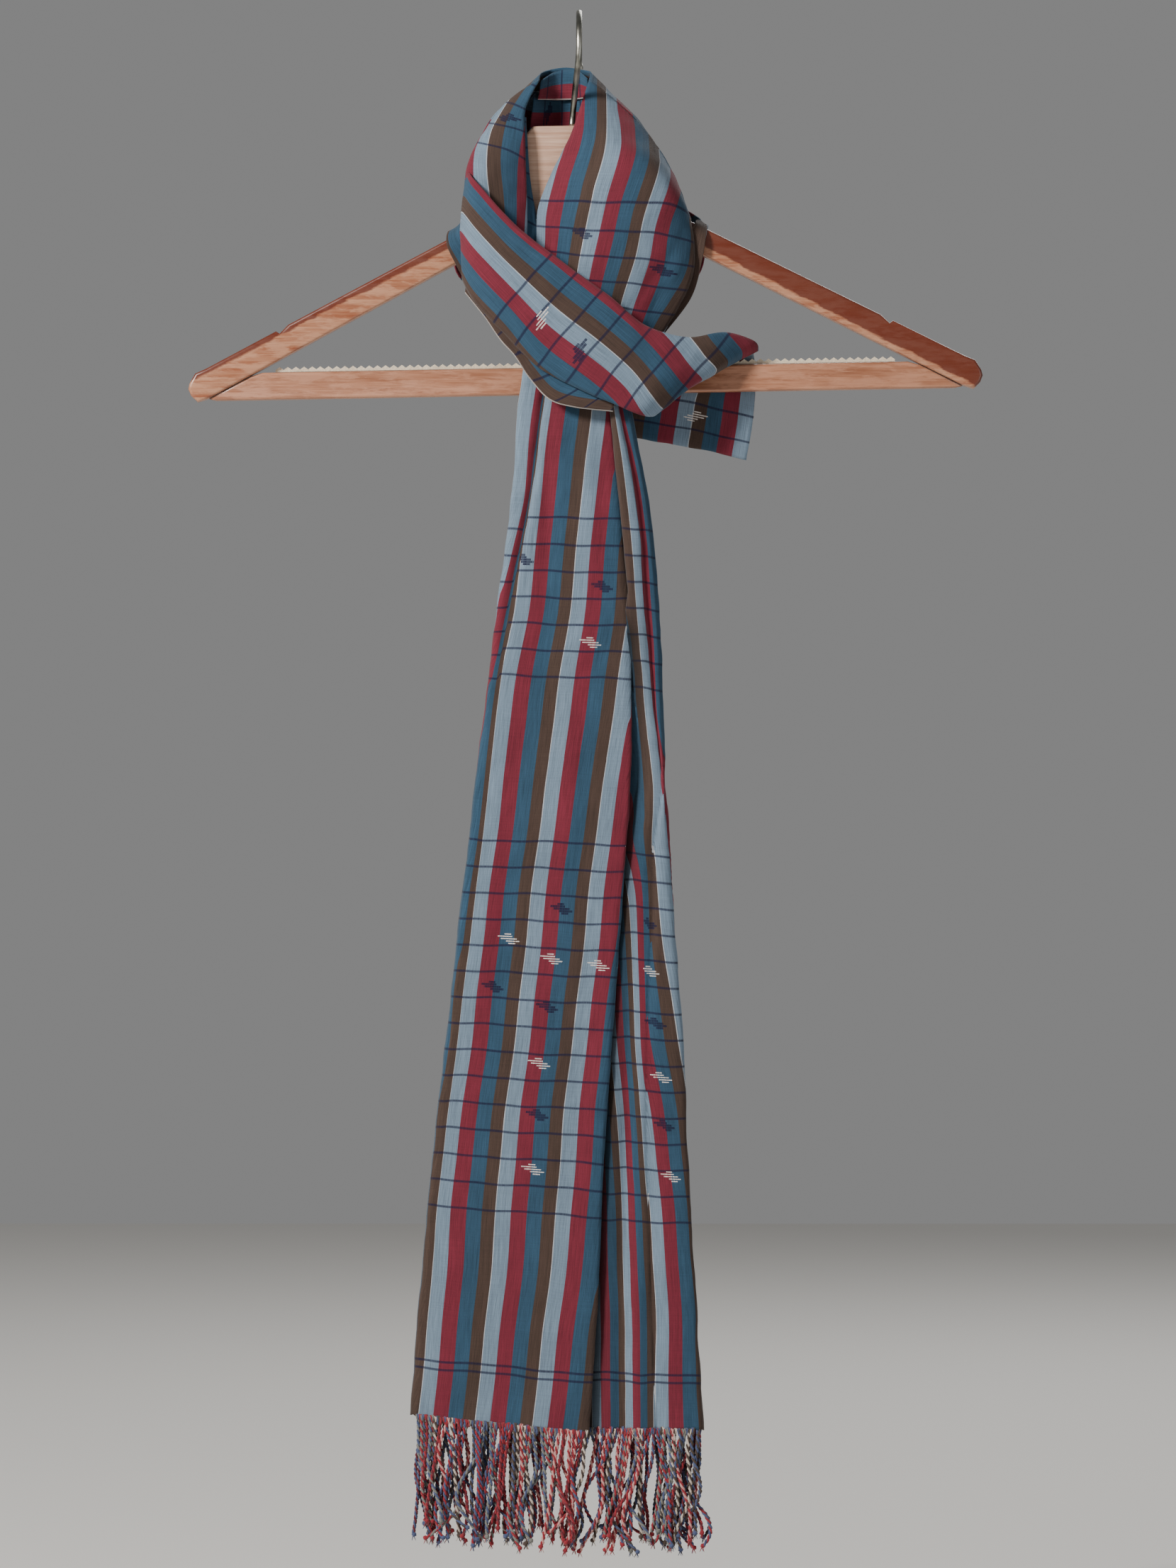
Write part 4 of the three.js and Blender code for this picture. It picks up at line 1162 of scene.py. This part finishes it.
# Each stretch in the order it is wound: rows, steps along and across its mesh, first and last weft line,
# woven dashes as x, z and tint, whether its selvedge shows, and its seed.
STRETCHES = {
    "front_right": (FRONT_RIGHT, 190, 105, 14.75, 300, [(1.6, -124, -1), (46, -145, -1)], False, 1),
    "neck_back": (NECK_BACK, 170, 130, -170, -130, [(0, -120, 1), (30, -100, -1)], False, 2),
    "front_left": (FRONT_LEFT, 110, 90, -170, -118, [(-40.4, -59.6, -1)], False, 4),
    "back_wrap": (BACK_WRAP, 320, 75, -230, -160, [(-20, -120, 1), (20, -130, -1)], False, 6),
    "band": (BAND, 200, 66, 0, 200, [(-19.6, -172.4, 1), (0.8, -190.8, -1)], False, 7),
    "under_band": (UNDER_BAND, 130, 40, -20, 200, [(-29, -188, -1)], True, 8),
    "end_flap": (END_FLAP, 150, 72, 0, 300, [(66, -227, 1)], False, 9),
    "facing_upper": (FACING_UPPER, 34, 16, -30, 30, [], True, 10),
    "facing_lower": (FACING_LOWER, 44, 28, -30, 30, [(-17, -55, -1)], False, 11),
}


def build_cloth(cotton):
    """Every stretch of the scarf. Each stands for the node of its name but the collar's turn."""
    made = {name: ribbon(name + "_cloth", *entry) for name, entry in STRETCHES.items()}
    made["tail_left"] = tail_left()
    made["tail_right"] = tail_right()
    for name, piece in made.items():
        finish_piece(piece, cotton, "cloth", name)
    made["collar_turn"] = ribbon("collar_turn_cloth", COLLAR_TURN, 124, 14, -150, -80, [], False, 12)
    finish_piece(made["collar_turn"], cotton, "cloth")
    return made


def hem_line(obj, x_low, x_high, front):
    """The hem points of a hanging piece between two places across, on its front or its back layer."""
    points = grid_of(obj)
    columns = {"tail_left_cloth": LEFT_STEPS + 1, "tail_right_cloth": RIGHT_STEPS + 1}[obj.name]
    hem = points[-columns:]
    middle = (hem[:, 1].min() + hem[:, 1].max()) / 2
    keep = (hem[:, 0] > x_low) & (hem[:, 0] < x_high) & ((hem[:, 1] < middle) == front)
    chosen = hem[keep]
    return chosen[np.argsort(chosen[:, 0])]


def build_fringes(made, yarn):
    left, right = made["tail_left"], made["tail_right"]
    plan = [
        ("cords_left_front", "fringe_left_front", hem_line(left, -93, 5.5, True), 2.1, 11),
        ("cords_left_back", "fringe_left_back", hem_line(left, -92, -14, False), 3.4, 12),
        ("cords_right_front", "fringe_right_front", hem_line(right, 4, 69, True), 2.1, 13),
        ("cords_right_back", "fringe_right_back", hem_line(right, 24, 69, False), 3.4, 14),
    ]
    pieces = []
    for name, node, hem, pitch, seed in plan:
        obj = fringe_object(name, node, hem, pitch, seed)
        finish_piece(obj, yarn, "yarn", node)
        pieces.append(obj)
    return {"tail_left": pieces[:2], "tail_right": pieces[2:]}


def build_hanger():
    # The arms' dark colour is painted shade above their border, and also their pores' colour.
    arm_wood = wood_material(
        "arm_wood", srgb(92, 30, 10), srgb(136, 71, 42), srgb(184, 134, 104), 0.75, 0.514, -0.0942, 0.9
    )
    bar_wood = wood_material(
        "bar_wood", srgb(104, 56, 34), srgb(134, 82, 56), srgb(180, 128, 100), 0.6, 0.0, -0.19, 0.0
    )
    arms = slab_object("arms_wood", arm_outline(), ARM_DEPTH, ARM_EDGE_ROUND)
    finish_piece(arms, arm_wood, "wood", "hanger_arms")
    bar = slab_object("bar_wood_piece", bar_outline(), BAR_DEPTH, BAR_EDGE_ROUND)
    finish_piece(bar, bar_wood, "wood", "trouser_bar")
    finish_piece(hook_object(), steel_material(), "steel", "hook")
    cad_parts["grip_strip"].data.materials.clear()
    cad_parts["grip_strip"].data.materials.append(grip_material())


def area_light(name, place, aim, size, power, tint):
    data = bpy.data.lights.new(name, "AREA")
    data.shape = "RECTANGLE"
    data.size, data.size_y = size
    data.energy = power
    data.color = tint
    obj = placed(name, data)
    obj.location = place
    obj.rotation_euler = (Vector(aim) - Vector(place)).to_track_quat("-Z", "Y").to_euler()


def build_stage():
    mesh = bpy.data.meshes.new("floor")
    half = 4.0
    corners = [(x * half, y * half, FLOOR_Z) for x, y in ((-1, -1), (1, -1), (1, 1), (-1, 1))]
    mesh.from_pydata(corners, [], [(0, 1, 2, 3)])
    floor = placed("floor", mesh)
    mesh.materials.append(Shade("pale_floor").finished(srgb(214, 212, 208), {"Roughness": 0.9}))
    world = bpy.data.worlds.new("studio")
    world.use_nodes = True
    sky = world.node_tree.nodes["Background"]
    sky.inputs["Color"].default_value = srgb(226, 226, 226)
    sky.inputs["Strength"].default_value = 0.30
    bpy.context.scene.world = world
    centre = (0, 0, -0.4)
    area_light("key", (-1.9, -1.8, 1.1), centre, (0.6, 0.6), 132, (1.0, 0.97, 0.93))
    area_light("fill", (2.0, -2.0, -0.2), centre, (1.6, 1.6), 12, (0.94, 0.97, 1.0))
    area_light("rim", (0.8, 2.2, 1.2), centre, (1.4, 1.4), 30, (1.0, 1.0, 1.0))
    camera = placed("camera", bpy.data.cameras.new("camera"))
    camera.data.lens = LENS
    camera.data.clip_end = 50
    camera.location = (VIEW_X, -VIEW_DISTANCE, VIEW_Z)
    camera.rotation_euler = (math.radians(90), 0, 0)
    bpy.context.scene.camera = camera


build_stage()
cloth = build_cloth(cloth_material())
fringes = build_fringes(cloth, yarn_material())
build_hanger()
